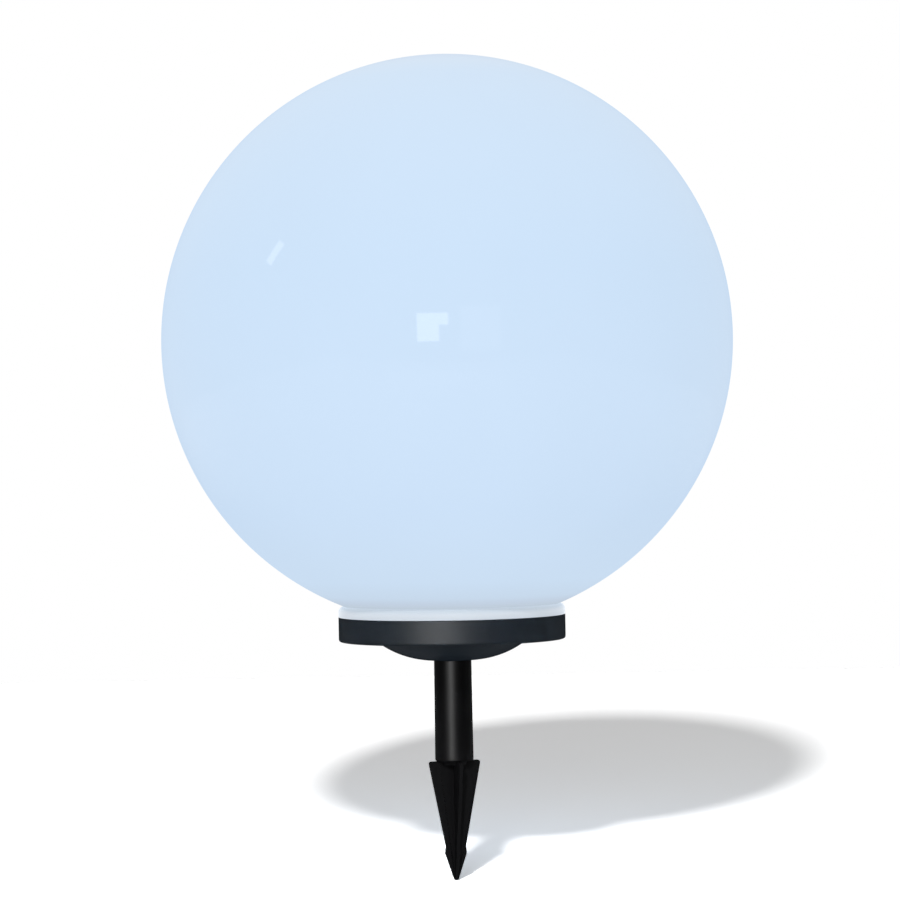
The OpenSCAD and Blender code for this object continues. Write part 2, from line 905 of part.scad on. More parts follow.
// The first and last stretch of a lead run straight, square to what they meet
function lead_line(p) = let (last = len(p) - 1) concat(
    [p[0]],
    smooth([for (i = [1:last - 1]) p[i]], 4),
    [p[last]]
);

module leads(side) {
    routes = [
        battery_lead(side), panel_lead(side), strip_lead(side, 1), strip_lead(side, -1), switch_lead(side)
    ];
    for (route = routes)
        tube(lead_line(route), lead_d / 2);
}

module red_leads() {
    color("#b3261e")
        leads(-1);
}

module black_leads() {
    color("#141414")
        leads(1);
}

spike();
pole();
base_housing();
globe();
globe_collar();
globe_seal();
deck();
panel_tray();
solar_cells();
panel_glass();
lamp_strips();
lamps();
lamp_lenses();
control_board();
board_components();
wire_terminals();
battery_box();
battery_1();
battery_2();
contact_springs();
contact_plates();
battery_door();
door_screws();
deck_screws();
board_screws();
switch_body();
switch_button();
switch_spring();
red_leads();
black_leads();
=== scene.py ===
import json
import math
from contextlib import contextmanager

import bmesh
import bpy
from mathutils import Matrix, Vector


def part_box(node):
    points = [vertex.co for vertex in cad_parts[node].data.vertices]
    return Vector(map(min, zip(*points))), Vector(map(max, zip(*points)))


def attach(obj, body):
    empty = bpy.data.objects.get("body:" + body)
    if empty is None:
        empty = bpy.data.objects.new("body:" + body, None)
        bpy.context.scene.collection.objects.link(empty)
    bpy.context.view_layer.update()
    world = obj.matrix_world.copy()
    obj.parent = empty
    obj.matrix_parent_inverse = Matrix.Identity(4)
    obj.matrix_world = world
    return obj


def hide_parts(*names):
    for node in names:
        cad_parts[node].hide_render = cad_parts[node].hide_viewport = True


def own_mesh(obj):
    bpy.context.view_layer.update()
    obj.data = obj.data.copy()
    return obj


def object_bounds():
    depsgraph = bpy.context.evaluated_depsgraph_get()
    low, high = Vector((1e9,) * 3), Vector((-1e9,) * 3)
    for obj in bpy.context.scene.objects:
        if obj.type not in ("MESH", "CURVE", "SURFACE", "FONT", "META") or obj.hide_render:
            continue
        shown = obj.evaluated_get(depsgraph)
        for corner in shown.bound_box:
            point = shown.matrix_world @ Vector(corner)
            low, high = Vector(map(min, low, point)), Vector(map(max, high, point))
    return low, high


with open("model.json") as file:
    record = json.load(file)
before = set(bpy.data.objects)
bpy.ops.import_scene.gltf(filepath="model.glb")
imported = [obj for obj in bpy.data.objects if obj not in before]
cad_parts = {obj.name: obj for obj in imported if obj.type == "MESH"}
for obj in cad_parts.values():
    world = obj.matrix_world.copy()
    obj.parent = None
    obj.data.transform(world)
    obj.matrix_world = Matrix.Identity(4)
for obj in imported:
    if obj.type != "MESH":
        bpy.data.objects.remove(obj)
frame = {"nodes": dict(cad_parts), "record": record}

cad_low, cad_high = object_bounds()

# Sizes repeated from the part's source are in millimetres. Meshes are in metres.
MM = 0.001


def span(node):
    """A node's lowest and highest corners in millimetres."""
    low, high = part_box(node)
    return low / MM, high / MM


def middle(node, axis):
    """The middle of a node along one axis, in millimetres."""
    low, high = span(node)
    return (low[axis] + high[axis]) / 2


# Ball
ball_low, ball_high = span("globe")
ball_r = (ball_high.x - ball_low.x) / 2
ball_z = ball_high.z - ball_r
ball_wall = 3
ball_hole_r = 91.85

# Collar under the ball, and the seal under its lip
rim_top_z = 127.5
collar_top_z = 137
collar_round = 5
bond_gap = 0.05
seat_out_r = 95
lip_r = 99.5
lip_foot_z = 130
skirt_low_z = 110.5
skirt_r = 94
neck_r = 90
neck_foot_z = 112.5
sleeve_r = 91.8
sleeve_foot_z = 136.2
sleeve_top_z = span("globe_collar")[1].z
seal_in_r = skirt_r + 0.05
seal_round = 0.55

# Lugs on the collar and the ribs that they climb, in millimetres and degrees
climb = 12.5 / 60
run_gap = 0.4
lug_count = 3
lug_out_r = 96.6
lug_thick = 3
lug_angle = 12
rib_in_r = skirt_r + run_gap
rib_thick = 2.4
rib_start = -2
rib_angle = 45
rib_low_z = skirt_low_z + lug_thick + run_gap

# Base housing
rim_z = 106
wall = 2.5
floor_z = rim_z + wall
rim_in_r = lip_r - wall
rebate_r = rim_in_r + 1.2
rebate_z = rim_top_z - 1.5
rim_round = 2.6
bowl_z = 88.5
bowl_r = 66.7
bowl_flat_r = 16.5
post_angles = (45, 135, 225, 315)
post_ring_r = 81
post_r = 4.5
post_hole_r = 1.55
post_flare = 1.4
web_size = (10, 1.2, 9)
web_middle_r = post_ring_r + 8.2
web_middle_z = floor_z + 4.3
deck_z = span("deck")[1].z - 2.5
deck_top_z = deck_z + 2.5
button_hole_r = 5.3

# Pole and its spigots
pole_top_r = 16.4
pole_foot_r = 16.85
bore_r = 14.2
spigot_r = 14.12
spigot_in_r = 11.12
spigot_long = 35
spigot_end = 3
key_wide = 2.4
key_in = 1.4

# Battery bay, its cells and contacts
bay_y = middle("battery_door", 1)
bay_half_wide = 14.95
bay_long = 58.1
bay_wall = 1.6
battery_r = 7.25
battery_long = 50.5
battery_z = middle("battery_1", 2)
battery_off_y = 7.4
contact_thick = 0.5
spring_long = 3.3
wire_r = 0.35

# Panel, lamps and boards
cells_low, cells_high = span("solar_cells")
cell_rows = 4
cell_columns = 2
cell_space = 2
strip_half_long = 38
strip_top_z = deck_top_z + 1.6
lamp_half = 2.5
lamp_x = span("lamps")[1].x - lamp_half
lens_r = 6.5
board_low, board_high = span("control_board")
board_mid = (board_low + board_high) / 2
board_z = board_low.z
board_half_long = 32
terminal_side = 6
terminal_off_x = 12.8

# Switch and its button
switch_y = middle("switch_button", 1)
switch_half = 8
button_r = 5
button_flange_r = 6
button_flange_z = floor_z + 1
button_stem_r = 1.6
button_spring_r = 4
button_spring_long = 6.5

# Leads
lead_r = 0.7
lead_off = 1.3
lead_bend = 4
lead_hole_in = 3.5

# The photograph's view
photo_side = 900
camera_distance = 2.4
camera_height = 0.24
camera_focal_px = 2732
axis_px = 449
eye_line_px = 487
camera_roll = 1.0
sensor = 36.0

# Floor, room and lamps, in metres. A level of 1 lights a white surface to plain white.
floor_half = 2.6
floor_tone = 0.8
floor_seen = 2.1
floor_glow = 0.01
room_level = 0.25
key_level = 0.79
key_far = 5.0
key_radius = 0.2
key_from = (-0.132, -0.89, 0.436)
# Name, direction from the ball's middle, distance, width, height, roll in degrees and level
soft_boxes = [
    ("front_bar", (-0.089, -1.0, 0.0875), 2.0, 0.394, 0.15, 0, 9.5),
    ("front_block", (-0.1185, -1.0, -0.0016), 2.0, 0.276, 0.206, 0, 9.5),
    ("right_panel", (0.215, -1.0, 0.028), 2.0, 0.51, 0.56, 0, 1.3),
    ("left_strip", (-0.848, -0.275, 0.44), 1.645, 0.09, 0.21, -20, 6.0),
]
sheen_box = ("black_sheen", (-0.25, -1.0, 0.0), 2.0, 1.2, 0.5, 0, 305.0)


def linear(red, green, blue):
    """A colour written as it shows on screen, 0 to 255, as Blender's linear numbers."""
    out = []
    for value in (red, green, blue):
        value /= 255
        out.append(value / 12.92 if value <= 0.04045 else ((value + 0.055) / 1.055) ** 2.4)
    return (*out, 1.0)


class Graph:
    """A node tree with short calls for adding and joining its nodes."""

    def __init__(self, tree):
        self.tree = tree

    def add(self, kind, settings=None, **values):
        """One node. settings are its own options; values are its inputs, by name, spaces as _."""
        node = self.tree.nodes.new(kind)
        for name, value in (settings or {}).items():
            setattr(node, name, value)
        self.feed(node, **values)
        return node

    def give(self, socket, value):
        """A socket's source or its fixed value."""
        if isinstance(value, bpy.types.NodeSocket):
            self.tree.links.new(value, socket)
        else:
            socket.default_value = value

    def feed(self, node, **values):
        """Inputs of a node, by name, spaces as _."""
        for name, value in values.items():
            self.give(self.named(node, name), value)

    def named(self, node, name):
        """The input of that name that the node's settings leave switched on."""
        for socket in node.inputs:
            if socket.name.replace(" ", "_") == name and socket.enabled:
                return socket
        return node.inputs[int(name[1:])]

    def link(self, source, target):
        self.tree.links.new(source, target)

    def maths(self, operation, first, second=0.0):
        node = self.add("ShaderNodeMath", {"operation": operation}, i0=first, i1=second)
        return node.outputs[0]

    def fit(self, value, low, high, to_low, to_high):
        """value between low and high, carried over to between to_low and to_high."""
        node = self.add("ShaderNodeMapRange", Value=value)
        for name, number in zip(("From Min", "From Max", "To Min", "To Max"), (low, high, to_low, to_high)):
            self.give(node.inputs[name], number)
        return node.outputs[0]

    def mix(self, share, first, second, blend="MIX"):
        """Two colours mixed."""
        node = self.tree.nodes.new("ShaderNodeMix")
        node.data_type = "RGBA"
        node.blend_type = blend
        for socket, value in ((node.inputs[0], share), (node.inputs[6], first), (node.inputs[7], second)):
            self.give(socket, value)
        return node.outputs[2]

    def noise(self, place, scale, detail, roughness=0.5):
        return self.add("ShaderNodeTexNoise", Vector=place, Scale=scale, Detail=detail,
                        Roughness=roughness).outputs[0]

    def bump(self, strength, distance, height):
        return self.add("ShaderNodeBump", Strength=strength, Distance=distance, Height=height).outputs[0]


def new_tree(name, kind, outputs, **inputs):
    """A node group. Each input has its value, or else the kind of its socket, and each output its kind."""
    tree = bpy.data.node_groups.new(name, kind)
    kinds = {float: "Float", int: "Int", tuple: "Color"}
    for label, value in inputs.items():
        bare = isinstance(value, str)
        socket_kind = "NodeSocket" + (value if bare else kinds[type(value)])
        socket = tree.interface.new_socket(label.replace("_", " "), in_out="INPUT", socket_type=socket_kind)
        if not bare:
            socket.default_value = value
    for label, socket_kind in outputs.items():
        tree.interface.new_socket(label, in_out="OUTPUT", socket_type="NodeSocket" + socket_kind)
    graph = Graph(tree)
    return graph, graph.add("NodeGroupInput").outputs, graph.add("NodeGroupOutput").inputs


def growing_tree(name, **inputs):
    """A tree that makes geometry from its inputs and gives it a finish."""
    return new_tree(name, "GeometryNodeTree", {"Geometry": "Geometry"}, **inputs, Finish="Material")


# Geometry node trees


def painted_tree(graph, geometry, given, out):
    """The end of each tree: real geometry with its finish."""
    real = graph.add("GeometryNodeRealizeInstances", Geometry=geometry)
    painted = graph.add("GeometryNodeSetMaterial", Geometry=real.outputs[0], Material=given["Finish"])
    graph.link(painted.outputs[0], out["Geometry"])
    return graph.tree


def placed_copies(graph, given, instance):
    """The instance set on each of the tree's places, turned by the place's lean."""
    lean = graph.add("GeometryNodeInputNamedAttribute", {"data_type": "FLOAT_VECTOR"}, Name="lean")
    return graph.add("GeometryNodeInstanceOnPoints", Points=given["Places"], Instance=instance,
                     Rotation=lean.outputs[0]).outputs[0]


def revolving_tree():
    """A profile of edges in the XZ plane turned about the Z axis."""
    graph, given, out = growing_tree("turned_about_axis", Profile="Geometry", Steps=160)
    count = graph.add("GeometryNodeAttributeDomainSize", Geometry=given["Profile"]).outputs["Point Count"]
    columns = graph.maths("ADD", given["Steps"], 1)
    grid = graph.add("GeometryNodeMeshGrid", Size_X=1.0, Size_Y=1.0)
    graph.link(columns, grid.inputs["Vertices X"])
    graph.link(count, grid.inputs["Vertices Y"])
    index = graph.add("GeometryNodeInputIndex").outputs[0]
    column = graph.maths("FLOOR", graph.maths("DIVIDE", graph.maths("ADD", index, 0.5), count))
    row = graph.maths("SUBTRACT", index, graph.maths("MULTIPLY", column, count))
    place = graph.add("GeometryNodeInputPosition").outputs[0]
    sample = graph.add("GeometryNodeSampleIndex", {"data_type": "FLOAT_VECTOR", "domain": "POINT"},
                       Geometry=given["Profile"], Value=place, Index=row)
    point = graph.add("ShaderNodeSeparateXYZ", Vector=sample.outputs[0]).outputs
    angle = graph.maths("MULTIPLY", graph.maths("DIVIDE", column, given["Steps"]), math.tau)
    turned = graph.add("ShaderNodeCombineXYZ",
                       X=graph.maths("MULTIPLY", point[0], graph.maths("COSINE", angle)),
                       Y=graph.maths("MULTIPLY", point[0], graph.maths("SINE", angle)),
                       Z=point[2])
    moved = graph.add("GeometryNodeSetPosition", Geometry=grid.outputs["Mesh"], Position=turned.outputs[0])
    closed = graph.add("GeometryNodeMergeByDistance", Geometry=moved.outputs[0], Distance=1e-6)
    return painted_tree(graph, closed.outputs[0], given, out)


def wire_tree():
    """A round wire or lead along the object's own curve."""
    graph, given, out = growing_tree("wire_along_path", Path="Geometry", Radius=0.0007, Sides=12)
    ring = graph.add("GeometryNodeCurvePrimitiveCircle", Resolution=given["Sides"], Radius=given["Radius"])
    swept = graph.add("GeometryNodeCurveToMesh", Curve=given["Path"], Profile_Curve=ring.outputs[0],
                      Fill_Caps=True)
    return painted_tree(graph, swept.outputs[0], given, out)


def coil_tree():
    """A coil spring of round wire standing on each of the object's points, turned by the point's lean."""
    graph, given, out = growing_tree("coil_springs", Places="Geometry", Foot_Radius=0.004, End_Radius=0.004,
                                     Height=0.006, Turns=4.0, Wire_Radius=0.00035)
    spiral = graph.add("GeometryNodeCurveSpiral", Resolution=28, Rotations=given["Turns"],
                       Start_Radius=given["Foot Radius"], End_Radius=given["End Radius"],
                       Height=given["Height"])
    ring = graph.add("GeometryNodeCurvePrimitiveCircle", Resolution=10, Radius=given["Wire Radius"])
    coil = graph.add("GeometryNodeCurveToMesh", Curve=spiral.outputs[0], Profile_Curve=ring.outputs[0],
                     Fill_Caps=True)
    return painted_tree(graph, placed_copies(graph, given, coil.outputs[0]), given, out)


def copies_tree():
    """One small piece repeated on each of the object's points, turned by the point's lean."""
    graph, given, out = growing_tree("copies_at_places", Places="Geometry", Piece="Object")
    piece = graph.add("GeometryNodeObjectInfo", Object=given["Piece"])
    return painted_tree(graph, placed_copies(graph, given, piece.outputs["Geometry"]), given, out)


def printed_lines_tree():
    """Printed lines on each cell of the panel: thin fingers across it and wide bars along it."""
    graph, given, out = growing_tree("printed_lines", Cells="Geometry", Width=0.04, Depth=0.02, Fingers=10,
                                     Finger_Width=0.00025, Bars=2, Bar_Width=0.0012, Height=0.00003)
    wide, deep, high = given["Width"], given["Depth"], given["Height"]

    def vector(**values):
        return graph.add("ShaderNodeCombineXYZ", **values).outputs[0]

    def lines_of(axis, count, across, size):
        """Lines side by side in the middles of equal shares of the cell."""
        step = graph.maths("DIVIDE", across, count)
        first = graph.maths("MULTIPLY", graph.maths("SUBTRACT", across, step), -0.5)
        spots = graph.add("GeometryNodeMeshLine", Count=count, Start_Location=vector(**{axis: first}),
                          Offset=vector(**{axis: step}))
        shape = graph.add("GeometryNodeMeshCube", Size=size)
        return graph.add("GeometryNodeInstanceOnPoints", Points=spots.outputs[0], Instance=shape.outputs[0])

    finger_size = vector(X=graph.maths("MULTIPLY", wide, 0.95), Y=given["Finger Width"], Z=high)
    bar_size = vector(X=given["Bar Width"], Y=deep, Z=graph.maths("MULTIPLY", high, 2))
    lines = graph.add("GeometryNodeJoinGeometry")
    for made in (lines_of("Y", given["Fingers"], deep, finger_size),
                 lines_of("X", given["Bars"], wide, bar_size)):
        graph.link(made.outputs[0], lines.inputs[0])
    set_out = graph.add("GeometryNodeInstanceOnPoints", Points=given["Cells"], Instance=lines.outputs[0])
    return painted_tree(graph, set_out.outputs[0], given, out)


# Shapes


def linked(name, data):
    """A new object in the scene."""
    made = bpy.data.objects.new(name, data)
    bpy.context.scene.collection.objects.link(made)
    return made


@contextmanager
def editing(mesh):
    """A mesh opened for changes, which are written back at the end."""
    work = bmesh.new()
    work.from_mesh(mesh)
    yield work
    work.to_mesh(mesh)
    work.free()


def evaluated(piece):
    """The piece's mesh with its modifiers worked out."""
    bpy.context.view_layer.update()
    graph = bpy.context.evaluated_depsgraph_get()
    return bpy.data.meshes.new_from_object(piece.evaluated_get(graph), depsgraph=graph)


def grown(name, source, tree, finish, smooth_deg=35.0, **sizes):
    """The plain mesh that a node tree grows on a mesh or curve."""
    seed = linked(name + "_seed", source)
    grower = seed.modifiers.new("grow", "NODES")
    grower.node_group = tree
    sizes["Finish"] = finish
    for item in tree.interface.items_tree:
        label = item.name.replace(" ", "_")
        if item.in_out == "INPUT" and label in sizes:
            grower[item.identifier] = sizes[label]
    mesh = evaluated(seed)
    seed.modifiers.remove(grower)
    bpy.data.objects.remove(seed)
    mesh.name = name
    return piece_of(name, mesh, finish, smooth_deg)


def piece_of(name, mesh, finish, smooth_deg=35.0):
    """An object at the origin with its faces turned outwards and its sharp edges kept."""
    with editing(mesh) as work:
        bmesh.ops.remove_doubles(work, verts=work.verts, dist=1e-7)
        bmesh.ops.delete(work, geom=[e for e in work.edges if not e.link_faces], context="EDGES")
        bmesh.ops.recalc_face_normals(work, faces=work.faces)
    mesh.materials.clear()
    mesh.materials.append(finish)
    mesh.shade_smooth()
    mesh.set_sharp_from_angle(angle=math.radians(smooth_deg))
    return linked(name, mesh)


def soft_outline(corners, steps=5):
    """Corners (r, z, rounding) in millimetres as a line of points with each corner rounded."""
    line = []
    last = len(corners) - 1
    closed = corners[0][:2] == corners[last][:2]
    for i, (r, z, soft) in enumerate(corners):
        here = Vector((r, z))
        before = Vector(corners[i - 1 if i else last - 1][:2])
        after = Vector(corners[i + 1 if i < last else 1][:2])
        if not soft or (not closed and i in (0, last)):
            line.append(here)
            continue
        start = here + (before - here).normalized() * soft
        end = here + (after - here).normalized() * soft
        for k in range(steps + 1):
            t = k / steps
            line.append(start * (1 - t) ** 2 + here * (2 * t * (1 - t)) + end * t * t)
    if closed:
        line[-1] = line[0]
    return [(p[0], p[1]) for p in line]


def arc(r, z, radius, start, end, steps):
    """Points (r, z) round a centre, angles in degrees from the radial direction."""
    points = []
    for i in range(steps + 1):
        a = math.radians(start + (end - start) * i / steps)
        points.append((r + radius * math.cos(a), z + radius * math.sin(a)))
    return points


def turned(name, line, finish, steps=160, smooth_deg=35.0, at=(0, 0, 0), tip=None):
    """A shape turned about its own axis, moved and tipped to its place, in millimetres."""
    mesh = bpy.data.meshes.new(name + "_profile")
    mesh.from_pydata([(r * MM, 0, z * MM) for r, z in line], [(i, i + 1) for i in range(len(line) - 1)], [])
    made = grown(name, mesh, revolve, finish, smooth_deg, Steps=steps)
    move(made, at, tip)
    return made


def move(piece, at=(0, 0, 0), tip=None):
    """The piece's mesh tipped and then moved, in millimetres."""
    place = Matrix.Translation(Vector(at) * MM)
    if tip:
        place = place @ tip.to_4x4()
    piece.data.transform(place)


def merged(name, *pieces):
    """Several pieces joined into the first one's mesh, each keeping its finish."""
    mesh = bpy.data.meshes.new(name)
    kept = []
    with editing(mesh) as work:
        for piece in pieces:
            before = len(work.faces)
            work.from_mesh(piece.data)
            work.faces.ensure_lookup_table()
            finish = piece.data.materials[0]
            if finish not in kept:
                kept.append(finish)
            for face in work.faces[before:]:
                face.material_index = kept.index(finish)
    for finish in kept:
        mesh.materials.append(finish)
    for piece in pieces:
        bpy.data.objects.remove(piece)
    return linked(name, mesh)


def remade(piece, smooth_deg=35.0):
    """The piece as a plain mesh under its own name, with its modifiers worked out."""
    mesh = evaluated(piece)
    name, finish = piece.name, piece.data.materials[0]
    bpy.data.objects.remove(piece)
    made = piece_of(name, mesh, finish, smooth_deg)
    made.name = name
    return made


def cut(piece, *cutters):
    """Material taken away by other closed shapes."""
    for cutter in cutters:
        knife = piece.modifiers.new("cut", "BOOLEAN")
        knife.operation = "DIFFERENCE"
        knife.solver = "EXACT"
        knife.object = cutter
    made = remade(piece)
    for cutter in cutters:
        bpy.data.objects.remove(cutter)
    return made


def bevelled(piece, soft, steps, angle):
    """The piece with its edges sharper than an angle rounded, soft in millimetres."""
    rounding = piece.modifiers.new("soft_edges", "BEVEL")
    rounding.width = soft * MM
    rounding.segments = steps
    rounding.limit_method = "ANGLE"
    rounding.angle_limit = math.radians(angle)
    rounding.harden_normals = False
    return crisp_flats(remade(piece, 28.0))


def crisp_flats(piece):
    """Edges between a wide face and a narrow strip of rounding are kept sharp, so that flats look flat."""
    with editing(piece.data) as work:
        for edge in work.edges:
            if len(edge.link_faces) == 2:
                small, large = sorted(face.calc_area() for face in edge.link_faces)
                if large > 6 * small and edge.calc_face_angle(0) > math.radians(2):
                    edge.smooth = False
    return piece


def block(name, size, at, finish, soft=0.0):
    """A block with softened edges, size and place of its middle in millimetres."""
    mesh = bpy.data.meshes.new(name)
    with editing(mesh) as work:
        bmesh.ops.create_cube(work, size=1.0)
        bmesh.ops.scale(work, vec=Vector(size) * MM, verts=work.verts)
        bmesh.ops.translate(work, vec=Vector(at) * MM, verts=work.verts)
        if soft:
            bmesh.ops.bevel(work, geom=work.edges[:], offset=soft * MM, segments=3, profile=0.6,
                            affect="EDGES")
    return crisp_flats(piece_of(name, mesh, finish))


def softened(node, name, finish, soft, steps, angle):
    """A copy of a frame node with its doubles merged, its flats joined and its edges rounded."""
    mesh = frame["nodes"][node].data.copy()
    with editing(mesh) as work:
        bmesh.ops.remove_doubles(work, verts=work.verts, dist=2e-6)
        bmesh.ops.dissolve_degenerate(work, edges=work.edges, dist=1e-6)
        bmesh.ops.dissolve_limit(work, angle_limit=math.radians(1.0), verts=work.verts, edges=work.edges)
    return bevelled(piece_of(name, mesh, finish), soft, steps, angle)


def framed_faces(piece, border, least):
    """Wide flat faces get a border, in millimetres, so that edge wear stays beside their edges."""
    with editing(piece.data) as work:
        wide = [face for face in work.faces if face.calc_area() > least * MM * MM]
        bmesh.ops.inset_individual(work, faces=wide, thickness=border * MM, use_even_offset=True)
    return piece


def places_mesh(name, places):
    """Points with a lean. places holds (x, y, z) in millimetres, or (place, lean in degrees)."""
    mesh = bpy.data.meshes.new(name + "_places")
    spots = [p if len(p) == 2 else (p, (0, 0, 0)) for p in places]
    mesh.from_pydata([Vector(spot) * MM for spot, lean in spots], [], [])
    lean_values = mesh.attributes.new("lean", "FLOAT_VECTOR", "POINT")
    for value, (spot, lean) in zip(lean_values.data, spots):
        value.vector = [math.radians(a) for a in lean]
    return mesh


def copies(name, piece, places, finish):
    """A small piece repeated by the copies tree. The pattern piece itself is taken away."""
    made = grown(name, places_mesh(name, places), copier, finish, Piece=piece)
    bpy.data.objects.remove(piece)
    return made


def climbing_bars(name, r_in, r_out, thick, start, end, low_z, soft, finish):
    """Bars round the inside or outside of a wall that climb as they go round, with rounded edges."""
    mesh = bpy.data.meshes.new(name)
    steps = max(6, int((end - start) / 1.5))
    with editing(mesh) as work:
        for number in range(lug_count):
            rings = []
            for i in range(steps + 1):
                a = start + (end - start) * i / steps
                turn = math.radians(a + number * 360 / lug_count)
                low = low_z + a * climb
                corners = [(r_in, low), (r_in, low + thick), (r_out, low + thick), (r_out, low)]
                rings.append([work.verts.new((r * math.cos(turn) * MM, r * math.sin(turn) * MM, z * MM))
                              for r, z in corners])
            for one, two in zip(rings, rings[1:]):
                for k in range(4):
                    work.faces.new((one[k], one[(k + 1) % 4], two[(k + 1) % 4], two[k]))
            work.faces.new(rings[0])
            work.faces.new(rings[-1])
        bmesh.ops.recalc_face_normals(work, faces=work.faces)
    return bevelled(piece_of(name, mesh, finish), soft, 3, 40.0)


def coils(name, places, foot_r, end_r, high, turns, thick_r, finish):
    """Coils of round wire, one on each place, in millimetres."""
    return grown(name, places_mesh(name, places), coiled, finish, Foot_Radius=foot_r * MM,
                 End_Radius=end_r * MM, Height=high * MM, Turns=turns, Wire_Radius=thick_r * MM)


def path_of(name, line):
    """A curve through points given in millimetres."""
    path = bpy.data.curves.new(name, "CURVE")
    path.dimensions = "3D"
    spline = path.splines.new("POLY")
    spline.points.add(len(line) - 1)
    for point, spot in zip(spline.points, line):
        point.co = (*(Vector(spot) * MM), 1)
    return path


def ring_place(r, angle, z):
    """A place at a radius and an angle in degrees."""
    turn = math.radians(angle)
    return (r * math.cos(turn), r * math.sin(turn), z)


def straight(low, high, count, margin=1.5):
    """Points (r, z, 0) on the line between two corners, so that edge wear stays at the corners."""
    low, high = Vector(low[:2]), Vector(high[:2])
    along = high - low
    end = margin / along.length
    return [(*(low + along * (end + (1 - 2 * end) * i / (count - 1))), 0) for i in range(count)]


# Shader effects shared by the finishes


def surface_place(graph, stretch=(1, 1, 1), turn=(0, 0, 0)):
    """Object coordinates in metres, turned and stretched."""
    spot = graph.add("ShaderNodeTexCoord").outputs["Object"]
    return graph.add("ShaderNodeMapping", Vector=spot, Scale=stretch, Rotation=turn).outputs[0]


def height_between(graph, low, high):
    """0 to 1 between two heights in millimetres."""
    up = graph.add("ShaderNodeSeparateXYZ", Vector=surface_place(graph)).outputs[2]
    return graph.fit(up, low * MM, high * MM, 0.0, 1.0)


def around(graph, centre, spread, slow):
    """A value that drifts by up to the spread to both sides of its centre, led by a slow noise."""
    low, high = graph.maths("SUBTRACT", centre, spread), graph.maths("ADD", centre, spread)
    return graph.fit(slow, 0.3, 0.7, low, high)


def moulded_skin_group():
    """Fine moulded grain with slow changes of gloss."""
    graph, given, out = new_tree(
        "moulded_skin", "ShaderNodeTree", {"Roughness": "Float", "Normal": "Vector", "Grain": "Float"},
        Grain=1400.0, Depth=0.00002, Roughness=0.4, Spread=0.05)
    spot = surface_place(graph)
    grain = graph.noise(spot, given["Grain"], 3.0, 0.6)
    slow = graph.noise(spot, 38.0, 4.0, 0.55)
    graph.link(around(graph, given["Roughness"], given["Spread"], slow), out["Roughness"])
    graph.link(graph.bump(0.6, given["Depth"], grain), out["Normal"])
    graph.link(grain, out["Grain"])
    return graph.tree


def colour_drift_group():
    """A colour that drifts a little lighter and darker over the piece."""
    graph, given, out = new_tree("colour_drift", "ShaderNodeTree", {"Colour": "Color"},
                                 Colour=(0.5, 0.5, 0.5, 1), Amount=0.05, Size=22.0)
    value = around(graph, 1.0, given["Amount"], graph.noise(surface_place(graph), given["Size"], 3.0))
    shifted = graph.add("ShaderNodeHueSaturation", Value=value, Color=given["Colour"])
    graph.link(shifted.outputs[0], out["Colour"])
    return graph.tree


def rubbed_edges_group():
    """Outer edges a little lighter where they are rubbed."""
    graph, given, out = new_tree("rubbed_edges", "ShaderNodeTree", {"Colour": "Color"},
                                 Colour=(0.5, 0.5, 0.5, 1), Edge_Colour=(0.7, 0.7, 0.7, 1), Amount=0.3)
    patchy = graph.noise(surface_place(graph), 160.0, 4.0)
    pointed = graph.add("ShaderNodeNewGeometry").outputs["Pointiness"]
    edge = graph.fit(pointed, 0.53, 0.62, 0.0, 1.0)
    worn = graph.maths("MULTIPLY", edge, graph.fit(patchy, 0.35, 0.65, 0.2, 1.0))
    share = graph.maths("MULTIPLY", worn, given["Amount"])
    graph.link(graph.mix(share, given["Colour"], given["Edge Colour"]), out["Colour"])
    return graph.tree


def fine_scratches_group():
    """Hair scratches from handling and wiping, as a change of roughness."""
    graph, given, out = new_tree("fine_scratches", "ShaderNodeTree", {"Roughness": "Float"},
                                 Roughness=0.3, Amount=0.1, Scale=60.0)
    total = None
    for stretch, turn in (((1, 14, 9), 0.4), ((12, 1, 10), 1.9)):
        spot = surface_place(graph, stretch, (turn, turn / 2, turn))
        lines = graph.noise(spot, given["Scale"], 2.0)
        thin = graph.fit(graph.maths("ABSOLUTE", graph.maths("SUBTRACT", lines, 0.5)), 0.0, 0.012, 1.0, 0.0)
        total = graph.maths("MAXIMUM", total, thin) if total else thin
    graph.link(graph.maths("ADD", given["Roughness"], graph.maths("MULTIPLY", total, given["Amount"])),
               out["Roughness"])
    return graph.tree


skin = moulded_skin_group()
drift = colour_drift_group()
rubbed = rubbed_edges_group()
scratches = fine_scratches_group()


def shader(name, roughness=0.5, **sockets):
    """A material and its shader, with the values that are the same all over the surface."""
    made = bpy.data.materials.new(name)
    made.use_nodes = True
    graph, principled = Graph(made.node_tree), made.node_tree.nodes["Principled BSDF"]
    graph.feed(principled, Roughness=roughness, **sockets)
    return made, graph, principled


def use(graph, group, **values):
    """The outputs of a shared effect."""
    return graph.add("ShaderNodeGroup", {"node_tree": group}, **values).outputs


def drifted(graph, colour, amount, size=22.0):
    """A colour, as it shows on screen, with its drift."""
    return use(graph, drift, Colour=linear(*colour), Amount=amount, Size=size)["Colour"]


def worn(graph, base, edge, amount):
    """A colour with its outer edges rubbed to another."""
    return use(graph, rubbed, Colour=base, Edge_Colour=linear(*edge), Amount=amount)["Colour"]


def scratched(graph, roughness, amount, scale=60.0):
    """A roughness with its fine scratches."""
    return use(graph, scratches, Roughness=roughness, Amount=amount, Scale=scale)["Roughness"]


